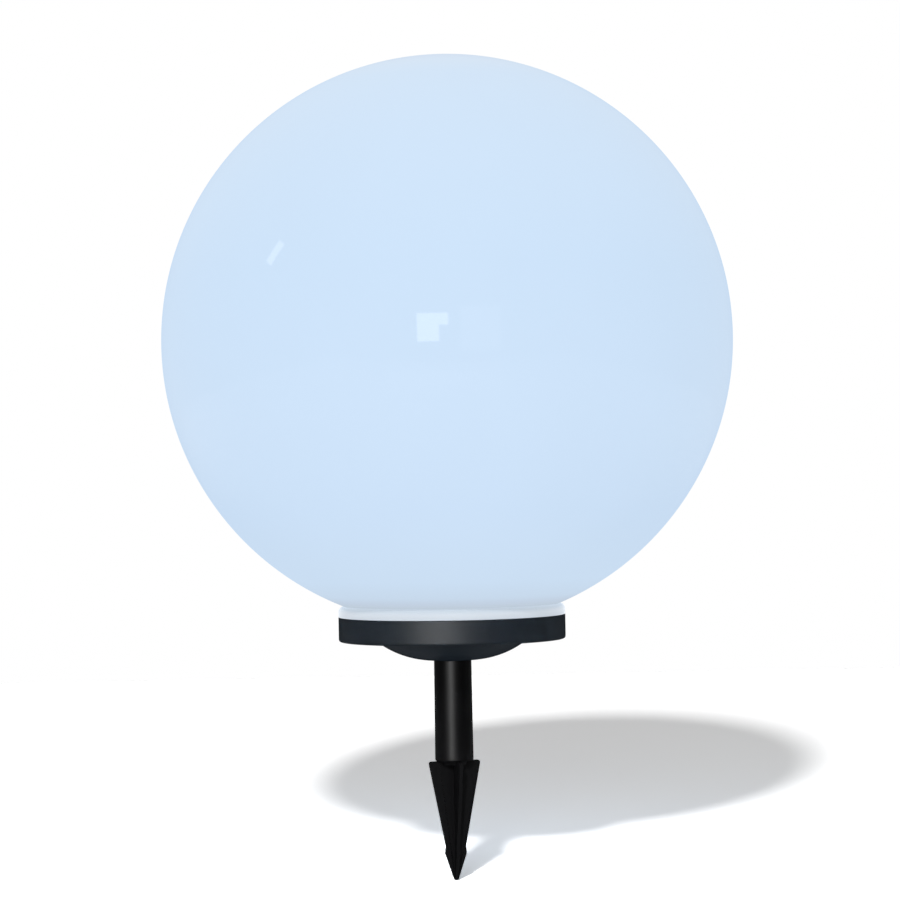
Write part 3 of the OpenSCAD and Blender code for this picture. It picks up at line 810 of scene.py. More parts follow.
def plastic_skin(graph, plastic, colour, roughness, grain=1400.0, depth=0.00002, spread=0.05, shade=0.04,
                 edge=None, edge_amount=0.3, scratch=0.05):
    """Grain, drift of shade, rubbed edges and fine scratches on a plastic's shader. The grain comes back."""
    base = drifted(graph, colour, shade)
    if edge:
        base = worn(graph, base, edge, edge_amount)
    skinned = use(graph, skin, Grain=grain, Depth=depth, Roughness=roughness, Spread=spread)
    graph.feed(plastic, Base_Color=base, Normal=skinned["Normal"],
               Roughness=scratched(graph, skinned["Roughness"], scratch))
    return skinned["Grain"]


def moulded(name, colour, roughness=0.4, specular=0.5, **marks):
    """Moulded plastic or rubber. marks are settings of its skin."""
    made, graph, plastic = shader(name, roughness, Specular_IOR_Level=specular)
    plastic_skin(graph, plastic, colour, roughness, **marks)
    return made


def colour_ramp(graph, value, stops):
    """Colours between named places: stops holds (place from 0 to 1, colour as it shows)."""
    ramp = graph.add("ShaderNodeValToRGB", i0=value)
    made = ramp.color_ramp.elements
    for place, colour in stops:
        stop = made.new(place) if 0 < place < 1 else made[0 if place == 0 else -1]
        stop.color = linear(*colour)
    return ramp.outputs[0]


def opal_ball():
    """Opal plastic lit from inside: a pale glow, with painted shade that darkens and greys it towards its
    foot and greys it a little at the top, under a clear gloss that fades towards the outline.
    """
    made, graph, opal = shader("opal_ball", 0.35, Specular_IOR_Level=0.0, Coat_Roughness=0.04, Coat_IOR=1.22,
                               Emission_Strength=0.875)
    spot = surface_place(graph)
    # Painted shade: the glow's colour by height is darker and greyer towards the foot and a little greyer at
    # the top.
    colour = colour_ramp(graph, height_between(graph, ball_z - ball_r, ball_z + ball_r), (
        (0.0, (194, 205, 214)), (0.038, (197, 210, 222)), (0.046, (200, 214, 231)), (0.056, (206, 224, 243)),
        (0.085, (209, 229, 250)), (0.2, (208, 229, 252)), (0.6, (207, 229, 252)), (0.94, (213, 232, 252)),
        (0.97, (217, 233, 250)), (0.985, (217, 231, 248)), (1.0, (216, 230, 246))))
    cloud = graph.fit(graph.noise(spot, 7.0, 2.0), 0.3, 0.7, 0.994, 1.006)
    glow_with_painted_light = graph.add("ShaderNodeHueSaturation", Value=cloud, Color=colour).outputs[0]
    facing = graph.add("ShaderNodeLayerWeight", Blend=0.5).outputs["Facing"]
    gloss = graph.maths("MULTIPLY", graph.fit(facing, 0.45, 0.95, 1.0, 0.0), height_between(graph, 220, 300))
    waves = graph.bump(0.25, 0.0004, graph.noise(spot, 16.0, 1.0))
    rough = use(graph, skin, Grain=900.0, Depth=0.0, Roughness=0.35, Spread=0.04)["Roughness"]
    graph.feed(opal, Base_Color=drifted(graph, (70, 78, 86), 0.01, 8.0), Emission_Color=glow_with_painted_light,
               Coat_Weight=gloss, Normal=waves, Roughness=rough)
    return made


def white_collar():
    """The ball's own plastic, thicker, so it glows less. Its glow is partly the lamp's light and partly
    painted light that evens out its shading, with a painted highlight brightest at half its height and
    painted shade at its top and foot.
    """
    made = moulded("white_collar", (104, 108, 112), 0.3, 0.2, grain=700.0, depth=0.000008, shade=0.015,
                   edge=(118, 122, 126), edge_amount=0.25, scratch=0.06)
    graph = Graph(made.node_tree)
    # Painted light: the glow's colour by height is a painted highlight at half the collar's height and
    # painted shade towards its top and foot.
    glow_with_painted_light = colour_ramp(graph, height_between(graph, rim_top_z, collar_top_z), (
        (0.0, (200, 210, 220)), (0.25, (210, 219, 228)), (0.5, (214, 223, 233)), (0.75, (205, 217, 229)),
        (1.0, (199, 212, 226))))
    graph.feed(made.node_tree.nodes["Principled BSDF"], Emission_Color=glow_with_painted_light, Emission_Strength=0.74)
    return made


def satin(graph, plastic, grain):
    """Satin gloss of black plastic, broken up by its grain. It fades towards the outline."""
    facing = graph.add("ShaderNodeLayerWeight", Blend=0.5).outputs["Facing"]
    graph.feed(plastic, Coat_Weight=graph.maths("MULTIPLY", graph.fit(facing, 0.3, 0.95, 1.0, 0.0),
                                                graph.fit(grain, 0.3, 0.7, 0.8, 1.0)))


def black_plastic(name, colour, roughness, grain, depth, shade, edge, scratch, gloss_roughness):
    """Black moulded plastic with a satin gloss."""
    made, graph, plastic = shader(name, roughness, Specular_IOR_Level=0.0, Coat_IOR=1.1,
                                  Coat_Roughness=gloss_roughness)
    satin(graph, plastic, plastic_skin(graph, plastic, colour, roughness, grain, depth, 0.06, shade, edge,
                                       0.35, scratch))
    return made


def tube_black():
    """Extruded tube: long faint draw lines up its side."""
    made, graph, tube = shader("tube_black", 0.45, Specular_IOR_Level=0.0, Coat_IOR=1.07, Coat_Roughness=0.4)
    lines = graph.noise(surface_place(graph, (520.0, 520.0, 5.0)), 1.0, 3.0)
    grain = use(graph, skin, Grain=1800.0, Depth=0.00001, Roughness=0.45, Spread=0.03)
    height = graph.maths("ADD", lines, graph.maths("MULTIPLY", grain["Grain"], 0.5))
    rough = graph.maths("ADD", grain["Roughness"], graph.fit(lines, 0.35, 0.65, -0.03, 0.05))
    graph.feed(tube, Base_Color=worn(graph, drifted(graph, (9, 9, 10), 0.08), (70, 70, 73), 0.4),
               Normal=graph.bump(0.5, 0.000012, height), Roughness=scratched(graph, rough, 0.1))
    satin(graph, tube, graph.fit(lines, 0.3, 0.7, 0.3, 0.7))
    return made


def silicon():
    """Polycrystalline cells: flat crystals of slightly different blue, with a soft metallic shine."""
    made, graph, cell = shader("silicon", 0.3, Specular_IOR_Level=0.6)
    spot = surface_place(graph, (1.0, 1.0, 0.1))
    crystals = graph.add("ShaderNodeTexVoronoi", Vector=spot, Scale=230.0, Randomness=1.0)
    tone = graph.add("ShaderNodeSeparateColor", Color=crystals.outputs["Color"]).outputs
    mixed = graph.mix(tone[0], linear(24, 48, 132), linear(46, 90, 198))
    mixed = graph.mix(graph.fit(tone[1], 0.7, 1.0, 0.0, 0.6), mixed, linear(66, 70, 180))
    graph.feed(cell, Base_Color=mixed, Roughness=graph.fit(tone[2], 0.0, 1.0, 0.22, 0.42),
               Metallic=graph.fit(tone[0], 0.0, 1.0, 0.05, 0.3))
    return made


def clear_cover(name, colour, roughness, ior):
    """Clear moulded or sheet cover with faint wipe marks."""
    made, graph, clear = shader(name, roughness, Transmission_Weight=1.0, IOR=ior, Specular_IOR_Level=0.5)
    skinned = use(graph, skin, Grain=90.0, Depth=0.000004, Roughness=roughness, Spread=0.015)
    graph.feed(clear, Base_Color=drifted(graph, colour, 0.01), Normal=skinned["Normal"],
               Roughness=scratched(graph, skinned["Roughness"], 0.06))
    return made


def circuit_board(name, mask, track):
    """Solder mask with the raised copper tracks that show through it and fine print-through of the weave."""
    made, graph, board = shader(name, 0.32, Specular_IOR_Level=0.5)
    spot = surface_place(graph)

    def bands(direction, scale):
        return graph.add("ShaderNodeTexWave", {"wave_type": "BANDS", "bands_direction": direction},
                         Vector=spot, Scale=scale).outputs["Fac"]

    track_width = 0.09
    tracks = None
    for direction, scale, patch_scale in (("X", 95.0, 60.0), ("Y", 70.0, 85.0)):
        lane = graph.fit(bands(direction, scale), 1.0 - track_width, 1.0, 0.0, 1.0)
        area = graph.fit(graph.noise(spot, patch_scale, 0.0), 0.50, 0.52, 0.0, 1.0)
        lane = graph.maths("MULTIPLY", lane, area)
        tracks = graph.maths("MAXIMUM", tracks, lane) if tracks else lane
    height = graph.maths("ADD", tracks, graph.maths("MULTIPLY", bands("DIAGONAL", 420.0), 0.15))
    graph.feed(board, Base_Color=graph.mix(tracks, drifted(graph, mask, 0.04), linear(*track)),
               Normal=graph.bump(0.7, 0.00004, height), Roughness=graph.fit(tracks, 0.0, 1.0, 0.34, 0.26))
    return made


def plated(name, colour, roughness, stretch=(300, 300, 300), spread=0.08):
    """Plated metal with fine drawn or turned lines."""
    made, graph, metal = shader(name, roughness, Metallic=1.0)
    lines = graph.noise(surface_place(graph, stretch), 1.0, 3.0)
    rough = graph.fit(lines, 0.3, 0.7, roughness - spread, roughness + spread)
    graph.feed(metal, Base_Color=worn(graph, drifted(graph, colour, 0.05, 60.0), (235, 235, 235), 0.3),
               Normal=graph.bump(0.4, 0.000004, lines), Roughness=scratched(graph, rough, 0.15, 200.0))
    return made


def sleeve_green():
    """Shrink sleeve: tight film with long shrink lines along the cell."""
    made, graph, film = shader("sleeve_green", 0.25, Specular_IOR_Level=0.5)
    lines = graph.noise(surface_place(graph, (12.0, 700.0, 700.0)), 1.0, 2.0)
    rough = scratched(graph, graph.fit(lines, 0.3, 0.7, 0.2, 0.32), 0.1, 90.0)
    graph.feed(film, Base_Color=drifted(graph, (62, 140, 78), 0.05, 50.0),
               Normal=graph.bump(0.4, 0.00002, lines), Roughness=rough)
    return made


def phosphor():
    """Yellow phosphor with its fine powder."""
    made, graph, gel = shader("phosphor", 0.35, Specular_IOR_Level=0.5)
    powder = graph.noise(surface_place(graph), 5200.0, 2.0)
    tone = graph.mix(graph.fit(powder, 0.3, 0.7, 0.0, 1.0), linear(238, 200, 90), linear(248, 222, 128))
    graph.feed(gel, Base_Color=tone, Roughness=graph.fit(powder, 0.3, 0.7, 0.28, 0.42))
    return made


finishes = {
    "globe": opal_ball(),
    "collar": white_collar(),
    "seal": moulded("seal_rubber", (186, 192, 196), 0.6, grain=1100.0, depth=0.00005, spread=0.08, shade=0.03,
                    scratch=0.02, specular=0.25),
    "base_plastic": black_plastic("rim_black", (27, 33, 39), 0.45, 1300.0, 0.00002, 0.06, (62, 70, 80),
                                  0.10, 0.5),
    "pole_plastic": tube_black(),
    "spike_plastic": black_plastic("spike_black", (15, 15, 16), 0.5, 850.0, 0.00006, 0.12, (52, 52, 54),
                                   0.12, 0.42),
    "deck_plastic": moulded("deck_white", (226, 228, 226), 0.45, grain=1200.0, depth=0.00003, spread=0.06,
                            shade=0.02, edge=(240, 241, 240), scratch=0.06, specular=0.4),
    "tray_plastic": moulded("tray_black", (27, 28, 31), 0.5, grain=1500.0, depth=0.00004, spread=0.06,
                            shade=0.06, edge=(70, 72, 76), specular=0.4),
    "silicon": silicon(),
    "cover_glass": clear_cover("cover_glass", (236, 242, 243), 0.04, 1.5),
    "lens": clear_cover("lens_clear", (240, 243, 245), 0.03, 1.49),
    "lamp_chip": phosphor(),
    "white_board": circuit_board("board_white", (226, 230, 226), (212, 217, 212)),
    "green_board": circuit_board("board_green", (28, 98, 58), (44, 128, 76)),
    "components": moulded("component_black", (38, 38, 40), 0.5, grain=2600.0, shade=0.05, edge=(80, 80, 82)),
    "terminal_plastic": moulded("terminal_white", (226, 226, 218), grain=2000.0, depth=0.00001, shade=0.02),
    "box_plastic": moulded("box_black", (34, 36, 38), 0.45, grain=1500.0, depth=0.00003, shade=0.06,
                           edge=(78, 80, 82), specular=0.4),
    "cell_sleeve": sleeve_green(),
    "contact_metal": plated("nickel", (205, 205, 203), 0.22),
    "screw_steel": plated("zinc_steel", (188, 190, 194), 0.34, (900, 900, 200), 0.1),
    "switch_plastic": moulded("switch_grey", (208, 208, 203), 0.42, grain=1800.0, shade=0.03),
    "button_rubber": moulded("button_rubber", (30, 31, 34), 0.62, grain=1500.0, depth=0.00006, shade=0.08,
                             edge=(64, 65, 68), specular=0.3),
    "lead_red": moulded("lead_red", (168, 30, 24), 0.35, grain=2500.0, depth=0.000008, shade=0.05),
    "lead_black": moulded("lead_black", (20, 20, 21), 0.35, grain=2500.0, depth=0.000008, shade=0.05),
}
door_finish = moulded("door_white", (218, 220, 217), grain=1200.0, depth=0.00003, spread=0.06, shade=0.02,
                      edge=(236, 237, 236), scratch=0.12, specular=0.4)
solder = plated("solder", (196, 198, 202), 0.3, (1200, 1200, 1200), 0.1)
silver_print = plated("silver_print", (200, 203, 206), 0.42, (2000, 2000, 2000), 0.05)
copper_wire = moulded("copper_enamel", (150, 74, 38), 0.25, grain=900.0, depth=0.000006, shade=0.08)
for part in frame["record"]["subparts"]:
    for holder in frame["nodes"][part["node"]].material_slots:
        holder.material = finishes[part["material_slot"]]


revolve = revolving_tree()
wire = wire_tree()
coiled = coil_tree()
copier = copies_tree()
printer = printed_lines_tree()


def fitted(piece, body, slot, *nodes):
    """A finished piece: it rides on its body and stands for the frame's nodes. Its slot is not used."""
    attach(piece, body)
    if nodes:
        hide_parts(*nodes)
    return piece


def soft_copy(node, name, slot, soft, steps=2):
    """A piece of the base with the frame's own shape and rounded edges."""
    return fitted(softened(node, name, finishes[slot], soft, steps, 40.0), "base", slot, node)


def make_ball():
    """The blown ball: outer skin, inner skin and the cut edge round its hole."""
    inner_r = ball_r - ball_wall
    out_edge = math.degrees(math.asin(ball_hole_r / ball_r)) - 90
    in_edge = math.degrees(math.asin(ball_hole_r / inner_r)) - 90
    outer = arc(0, ball_z, ball_r, out_edge, 90, 110)
    inner = arc(0, ball_z, inner_r, 90, in_edge, 64)
    # Both tops lie exactly on the axis, so that each skin closes there
    outer[-1] = (0.0, ball_z + ball_r)
    inner[0] = (0.0, ball_z + inner_r)
    made = turned("ball", outer + inner + [outer[0]], finishes["globe"], 200, 40.0)
    return fitted(made, "globe", "globe", "globe")


def make_collar():
    """The moulded collar: soft lip, seat for the ball, thin sleeve inside it and skirt with three lugs."""
    white = finishes["collar"]
    seat = []
    for i in range(1, 9):
        r = seat_out_r - (seat_out_r - ball_hole_r) * i / 8
        seat.append((r, ball_z - math.sqrt((ball_r + bond_gap) ** 2 - r * r)))
    lip = arc(lip_r - collar_round, collar_top_z - collar_round, collar_round, 0, 84, 14)
    foot = soft_outline([
        (neck_r, neck_foot_z, 0), (neck_r, skirt_low_z, 0.8), (skirt_r, skirt_low_z, 0.8),
        (skirt_r, rim_top_z, 0.5), (lip_r, rim_top_z, 0.7), (lip_r, lip_foot_z, 0)], 4)
    head = soft_outline([
        (sleeve_r, sleeve_foot_z, 0), (sleeve_r, sleeve_top_z, 0.6), (neck_r, sleeve_top_z, 0.6),
        (neck_r, neck_foot_z, 0)], 4)
    ring = turned("ball_collar", foot + lip + seat + head, white, 200, 50.0)
    lugs = climbing_bars("lugs", skirt_r - 1.5, lug_out_r, lug_thick, 0, lug_angle, skirt_low_z, 0.6, white)
    return fitted(merged("collar_ring", ring, lugs), "globe", "collar", "globe_collar")


def make_seal():
    """The seal: a soft ring with rounded sides."""
    low, high = span("globe_seal")
    corners = [(seal_in_r, low.z), (high.x, low.z), (high.x, high.z), (seal_in_r, high.z), (seal_in_r, low.z)]
    line = soft_outline([(r, z, seal_round) for r, z in corners], 4)
    return fitted(turned("seal_ring", line, finishes["seal"]), "seal", "seal", "globe_seal")


def housing_line():
    """Half section of rim, bowl and spigot."""
    run = bowl_r - bowl_flat_r
    drop = rim_z - bowl_z
    curve = (run * run + drop * drop) / (2 * drop)
    reach = math.degrees(math.asin(run / curve))
    inside = arc(bowl_flat_r, bowl_z + curve, curve - wall, -90, -90 + reach, 22)
    outside = arc(bowl_flat_r, bowl_z + curve, curve, -90 + reach, -90, 30)
    top, foot = (lip_r, rim_top_z, 0.6), (lip_r, rim_z, rim_round)
    rim = soft_outline([
        inside[-1] + (0,), (rim_in_r, floor_z, 1.2), (rim_in_r, rebate_z, 0.3), (rebate_r, rebate_z, 0.2),
        (rebate_r, rim_top_z, 0.25), top, *straight(top, foot, 5, rim_round + 0.8), foot,
        (bowl_r + 1.2, rim_z, 0.9), outside[1] + (0,),
    ], 7)
    fillet = 0.4
    spigot = soft_outline([
        outside[-2] + (0,), (bowl_flat_r, bowl_z, 0), (spigot_r + fillet, bowl_z, 0),
        (spigot_r, bowl_z - fillet, 0), (spigot_r, bowl_z - spigot_long, 1.0),
        (spigot_in_r, bowl_z - spigot_long, 0.6), (spigot_in_r, bowl_z - spigot_end, 1.0),
        (0, bowl_z - spigot_end, 0),
    ], 5)
    return [(0, bowl_z + wall)] + inside[:-1] + rim + outside[2:-2] + spigot


def key_cutter(low, high):
    """The slot that the pole's key runs in. It reaches out past the spigot's skin."""
    deep, reach = bore_r - key_in - run_gap, 6
    return block("slot", (key_wide + 2 * run_gap, reach, high - low),
                 (0, deep + reach / 2, (low + high) / 2), finishes["base_plastic"])


def make_housing():
    """Rim, bowl and spigot in one moulding, with its posts and the ribs that lift the ball."""
    black = finishes["base_plastic"]
    low, high = rim_z - 2, floor_z + 2
    hole = turned("hole", [(0, low), (button_hole_r, low), (button_hole_r, high), (0, high)], black, 48,
                  at=(0, switch_y, 0))
    shell = turned("shell", housing_line(), black, 200, 30.0)
    shell = cut(shell, hole, key_cutter(bowl_z - spigot_long - 1, bowl_z - 0.05))
    post_line = soft_outline([
        (post_hole_r, floor_z, 0), (post_r + post_flare, floor_z - 0.3, 0), (post_r, floor_z + 1.2, 1.0),
        (post_r, deck_z, 0.4), (post_hole_r, deck_z, 0.3), (post_hole_r, floor_z, 0),
    ], 4)
    post = turned("post", post_line, black, 32)
    posts = copies("posts", post, [ring_place(post_ring_r, angle, 0) for angle in post_angles], black)
    webs = []
    for angle in post_angles:
        web = block("web", web_size, (web_middle_r, 0, web_middle_z), black, 0.3)
        web.data.transform(Matrix.Rotation(math.radians(angle), 4, "Z"))
        webs.append(web)
    ribs = climbing_bars("ribs", rib_in_r, rim_in_r + 1.0, rib_thick, rib_start, rib_start + rib_angle,
                         rib_low_z, 0.5, black)
    return fitted(merged("rim_and_bowl", shell, posts, ribs, *webs), "base", "base_plastic", "base_housing")


def make_pole():
    """Tube with a rounded foot, and the key rooted in its bore."""
    foot, top = (pole_foot_r, 3.0, 1.0), (pole_top_r, bowl_z, 0.5)
    line = soft_outline([
        (bore_r, 1.0, 0), (bore_r + 0.5, 0, 0), (pole_foot_r - 0.1, 0, 1.7), foot, *straight(foot, top, 12),
        top, (bore_r, bowl_z, 0.5), (bore_r, 1.0, 0),
    ], 7)
    tube = turned("tube", line, finishes["pole_plastic"], 120, 30.0)
    root = 0.5
    key = block("key", (key_wide, key_in + root, bowl_z - 1),
                (0, bore_r - key_in / 2 + root / 2, bowl_z / 2), finishes["pole_plastic"], 0.3)
    return fitted(merged("pole_tube", tube, key), "pole", "pole_plastic", "pole")


def make_spike():
    """Spike: soft moulded edges round its blades and its socket."""
    blades = softened("spike", "ground_spike", finishes["spike_plastic"], 0.45, 3, 35.0)
    return fitted(framed_faces(blades, 0.5, 40), "spike", "spike_plastic", "spike")


def screw(name, d, long, finish):
    """Pan-head screw, head down: domed head with a cross recess, and a shank with its thread.

    Its sizes are shares of its diameter d.
    """
    head_r, head_t, thread_r, pitch = d * 0.95, d * 0.6, d * 0.43, d * 0.28
    line = soft_outline([
        (0, -head_t, 0), (head_r * 0.72, -head_t * 0.94, 0.2), (head_r * 0.98, -head_t * 0.4, 0.25),
        (head_r, 0, 0.08), (d * 0.44, 0, 0), (d * 0.42, long - d * 0.6, 0), (d * 0.08, long, 0), (0, long, 0),
    ], 4)
    body = turned(name, line, finish, 28)
    arm_long, arm_wide = d * 1.05, d * 0.2
    arms = [block("arm", size, (0, 0, -head_t), finish)
            for size in ((arm_long, arm_wide, head_t), (arm_wide, arm_long, head_t))]
    body = cut(body, *arms)
    steps = 12
    turns = int((long - d * 0.9) / pitch)
    helix = [ring_place(thread_r, 360 * i / steps, d * 0.2 + pitch * i / steps)
             for i in range(turns * steps + 1)]
    thread = grown("thread", path_of("thread_path", helix), wire, finish, Radius=d * 0.06 * MM, Sides=4)
    return merged(name, body, thread)


def make_panel():
    """Tray, cells with their printed lines and joining ribbons, and the cover."""
    soft_copy("panel_tray", "panel_frame", "tray_plastic", 0.5, 3)
    soft_copy("panel_glass", "panel_cover", "cover_glass", 0.25)
    wide = (cells_high.x - cells_low.x + cell_space) / cell_columns
    deep = (cells_high.y - cells_low.y + cell_space) / cell_rows
    edge_x, edge_y = cells_low.x - cell_space / 2, cells_low.y - cell_space / 2
    centres = [(edge_x + wide * (i + 0.5), edge_y + deep * (j + 0.5), cells_high.z + 0.02)
               for i in range(cell_columns) for j in range(cell_rows)]
    lines = grown("cell_lines", places_mesh("cell_lines", centres), printer, silver_print,
                  Width=(wide - cell_space) * MM, Depth=(deep - cell_space) * MM, Fingers=12)
    fitted(lines, "base", "silicon")
    ribbon_size, ribbon_z = (wide, 1.4, 0.12), cells_high.z - 0.1
    ribbons = [block("ribbon", ribbon_size, (x, edge_y + deep * (j + 1), ribbon_z), silver_print, 0.03)
               for x in (cells_low.x + wide / 2, cells_high.x - wide / 2) for j in range(cell_rows - 1)]
    fitted(merged("cell_ribbons", *ribbons), "base", "silicon")


def lamp_places():
    """Where the four lamps stand on their strips."""
    low, high = span("lamps")
    return [(x, y, strip_top_z) for x in (low.x + lamp_half, high.x - lamp_half)
            for y in (low.y + lamp_half, high.y - lamp_half)]


def make_lamps():
    """Lamp strips with a housing, a phosphor face and solder pads for each lamp, and the clear lenses."""
    soft_copy("lamp_strips", "lamp_boards", "white_board", 0.15)
    white, gel, clear = finishes["terminal_plastic"], finishes["lamp_chip"], finishes["lens"]
    spots = lamp_places()
    cup_line = soft_outline([
        (1.9, 0.5, 0), (2.05, 1.55, 0.1), (2.5, 1.6, 0), (2.5, 0.5, 0), (1.9, 0.5, 0)], 3)
    cup = turned("cup", cup_line, white, 32)
    body = block("body", (4.96, 4.96, 1.3), (0, 0, 0.66), white, 0.12)
    cups = copies("lamp_bodies", merged("lamp_body", body, cup), spots, white)
    face_line = soft_outline([(0, 1.2, 0), (1.95, 1.2, 0), (1.95, 1.42, 0.1), (0, 1.58, 0)], 4)
    faces = copies("lamp_faces", turned("face", face_line, gel, 32), spots, gel)
    pad = block("pad", (1.4, 1.2, 0.25), (0, 0, 0.1), solder, 0.1)
    pads = copies("lamp_solder", pad, [(x, y + s, z) for x, y, z in spots for s in (-2.9, 2.9)], solder)
    fitted(merged("lamp_chips", faces, cups, pads), "base", "lamp_chip", "lamps")
    dome_r, lens_wall = lens_r - 0.5, 1.2
    foot = [(lens_r - 0.15, 0.02), (lens_r, 0.2), (lens_r, 0.85), (lens_r - 0.15, 1.0)]
    dome = arc(0, 0, dome_r, 11, 90, 22) + arc(0, 0, dome_r - lens_wall, 90, 0.5, 18)
    lens = turned("lens", foot + dome + foot[:1], clear, 64, 30.0)
    fitted(copies("lenses", lens, spots, clear), "base", "lens", "lamp_lenses")


def make_control_board():
    """Green board with its chip, capacitor, choke, small parts and solder joints."""
    soft_copy("control_board", "board_plate", "green_board", 0.15)
    black = finishes["components"]
    x, y = board_mid.x, board_mid.y
    long, wide = board_high.x - board_low.x, board_high.y - board_low.y
    chip = block("chip", (9.9, 7.6, 1.5), (x, y, board_z - 0.85), black, 0.2)
    leg_parts = (("foot", (0.9, 0.42, 0.16), (0.9, 0, 0)), ("knee", (0.16, 0.42, 0.8), (0.5, 0, -0.35)),
                 ("thigh", (0.6, 0.42, 0.16), (0.25, 0, -0.72)))
    leg = merged("leg", *[block(name, size, at, solder, 0.05) for name, size, at in leg_parts])
    leg_pitch, first_leg_x, leg_row = 1.2, x - 4.2, 3.7
    legs = copies("chip_legs", leg, [
        ((first_leg_x + leg_pitch * i, y + side * leg_row, board_z - 0.12), (0, 0, 90 * side))
        for i in range(8) for side in (-1, 1)], solder)
    can_x, choke_x, row_y = x - long / 4, x + long / 4, y - wide / 6
    can = turned("can", soft_outline([
        (0, 0, 0), (3.9, 0, 0.3), (3.98, -1.3, 0.2), (3.6, -1.7, 0.2), (3.98, -2.1, 0.2), (3.98, -8.9, 0.5),
        (3.1, -8.98, 0.1), (3.0, -8.8, 0.1), (0, -8.8, 0)], 4), black, 48, at=(can_x, row_y, board_z))
    drum = turned("drum", soft_outline([
        (0, 0, 0), (5, 0, 0.3), (5, -1, 0.3), (3.6, -1.1, 0.1), (3.6, -3.9, 0.1), (5, -4, 0.3), (5, -5, 0.3),
        (0, -5, 0)], 4), black, 48, at=(choke_x, row_y, board_z))
    winding = coils("winding", [(choke_x, row_y, board_z - 3.75)], 3.9, 3.9, 2.5, 6.0, 0.22, copper_wire)
    small_places = [(x - 12 + 4 * i, y + 8.5, board_z) for i in range(7)]
    small_places += [(x + 9 + 3 * i, y + 2.5, board_z) for i in range(3)]
    small = block("small", (2.0, 1.25, 0.6), (0, 0, -0.3), black, 0.08)
    smalls = copies("small_parts", small, small_places, black)
    end = block("end", (0.4, 1.3, 0.64), (0, 0, -0.32), solder, 0.08)
    end_places = [(a + s, b, c) for a, b, c in small_places for s in (-0.95, 0.95)]
    ends = copies("small_ends", end, end_places, solder)
    bead_line = soft_outline([(0, 0.9, 0), (0.35, 0.7, 0.2), (1.1, 0, 0), (0, 0, 0)], 4)
    spots = [(can_x - 1.6, row_y), (can_x + 1.6, row_y), (choke_x - 3, row_y), (choke_x + 3, row_y)]
    for a, b in terminal_places():
        off_x, off_y = (lead_off, 0) if faces_along_y(b) else (0, lead_off)
        spots += [(a + off_x, b + off_y), (a - off_x, b - off_y)]
    joints = copies("board_solder", turned("bead", bead_line, solder, 20),
                    [(a, b, board_high.z) for a, b in spots], solder)
    fitted(merged("board_parts", chip, legs, can, drum, winding, smalls, ends, joints), "base", "components",
           "board_components")


def terminal_places():
    """The middles of the five wire terminals."""
    low, high = span("wire_terminals")
    half = terminal_side / 2
    x, y = board_mid.x, board_mid.y
    return [(x, board_low.y + half), (x - terminal_off_x, board_high.y - half),
            (x + terminal_off_x, board_high.y - half), (low.x + half, y), (high.x - half, y)]


def faces_along_y(y):
    """Whether a terminal at y is on the board's front or back edge, so that its leads run along Y."""
    return abs(y - board_mid.y) > terminal_side


def make_terminals():
    """Push-in terminals: two wire funnels in the face and two release slots underneath."""
    finish = finishes["terminal_plastic"]
    half = terminal_side / 2
    body_size = (terminal_side - 0.04,) * 3
    funnel = [(0, -2.2), (0.75, -2.2), (0.75, -0.7), (1.1, 0.3), (0, 0.3)]
    slot_wide, slot_long, slot_back = 1.2, 1.8, 0.8
    made = []
    for a, b in terminal_places():
        middle_spot = Vector((a, b))
        if faces_along_y(b):
            face = Vector((0, math.copysign(1, b - board_mid.y)))
            slot_size = (slot_wide, slot_long, slot_wide)
        else:
            face = Vector((math.copysign(1, a - board_mid.x), 0))
            slot_size = (slot_long, slot_wide, slot_wide)
        across = Vector((-face.y, face.x))
        tip = face.to_3d().to_track_quat("Z", "Y").to_matrix()
        cutters = []
        for s in (-lead_off, lead_off):
            mouth = middle_spot + face * half + across * s
            cutters.append(turned("funnel", funnel, finish, 20, at=(*mouth, board_z - half), tip=tip))
            slot = middle_spot + across * s - face * slot_back
            cutters.append(block("slot", slot_size, (*slot, board_z - terminal_side), finish))
        body = block("terminal", body_size, (a, b, board_z - half), finish, 0.25)
        made.append(crisp_flats(cut(body, *cutters)))
    fitted(merged("push_terminals", *made), "base", "terminal_plastic", "wire_terminals")


def make_batteries():
    """Two AA cells: shrink sleeve rolled over the ends, steel cap and a crimped shoulder."""
    half = battery_long / 2
    sleeve = soft_outline([
        (5.6, -half + 0.15, 0), (battery_r - 0.1, -half + 0.02, 0.5), (battery_r, half - 3.6, 0.3),
        (battery_r - 0.35, half - 3.1, 0.3), (battery_r, half - 2.6, 0.3),
        (battery_r - 0.05, half - 1.55, 0.5), (5.2, half - 1.5, 0.1), (5.2, half - 1.7, 0),
        (5.6, -half + 0.15, 0)], 5)
    metal = soft_outline([
        (0, -half + 0.05, 0), (5.0, -half, 0.2), (5.7, -half + 0.35, 0.1), (5.7, half - 2, 0),
        (5.3, half - 1.65, 0.1), (3.2, half - 1.7, 0.2), (2.75, half - 1.4, 0.2), (2.75, half - 0.02, 0.5),
        (0, half, 0)], 5)
    for number, side in ((1, 1), (2, -1)):
        tip = Matrix.Rotation(math.radians(90 * side), 3, "Y")
        at = (0, bay_y + side * battery_off_y, battery_z)
        film = turned("sleeve", sleeve, finishes["cell_sleeve"], 72, 40.0, at, tip)
        can = turned("can", metal, finishes["contact_metal"], 64, 40.0, at, tip)
        fitted(merged(f"cell_{number}", film, can), "base", "cell_sleeve", f"battery_{number}")


def make_contacts():
    """Conical springs and sprung plates at the ends of the cells."""
    seat_x = bay_long / 2 - contact_thick
    places = [((-side * seat_x, bay_y + side * battery_off_y, battery_z), (0, side * 90, 0))
              for side in (-1, 1)]
    springs = coils("cell_springs", places, 4.4, 2.6, spring_long - wire_r, 3.25, wire_r,
                    finishes["contact_metal"])
    fitted(springs, "base", "contact_metal", "contact_springs")
    soft_copy("contact_plates", "end_plates", "contact_metal", 0.12)


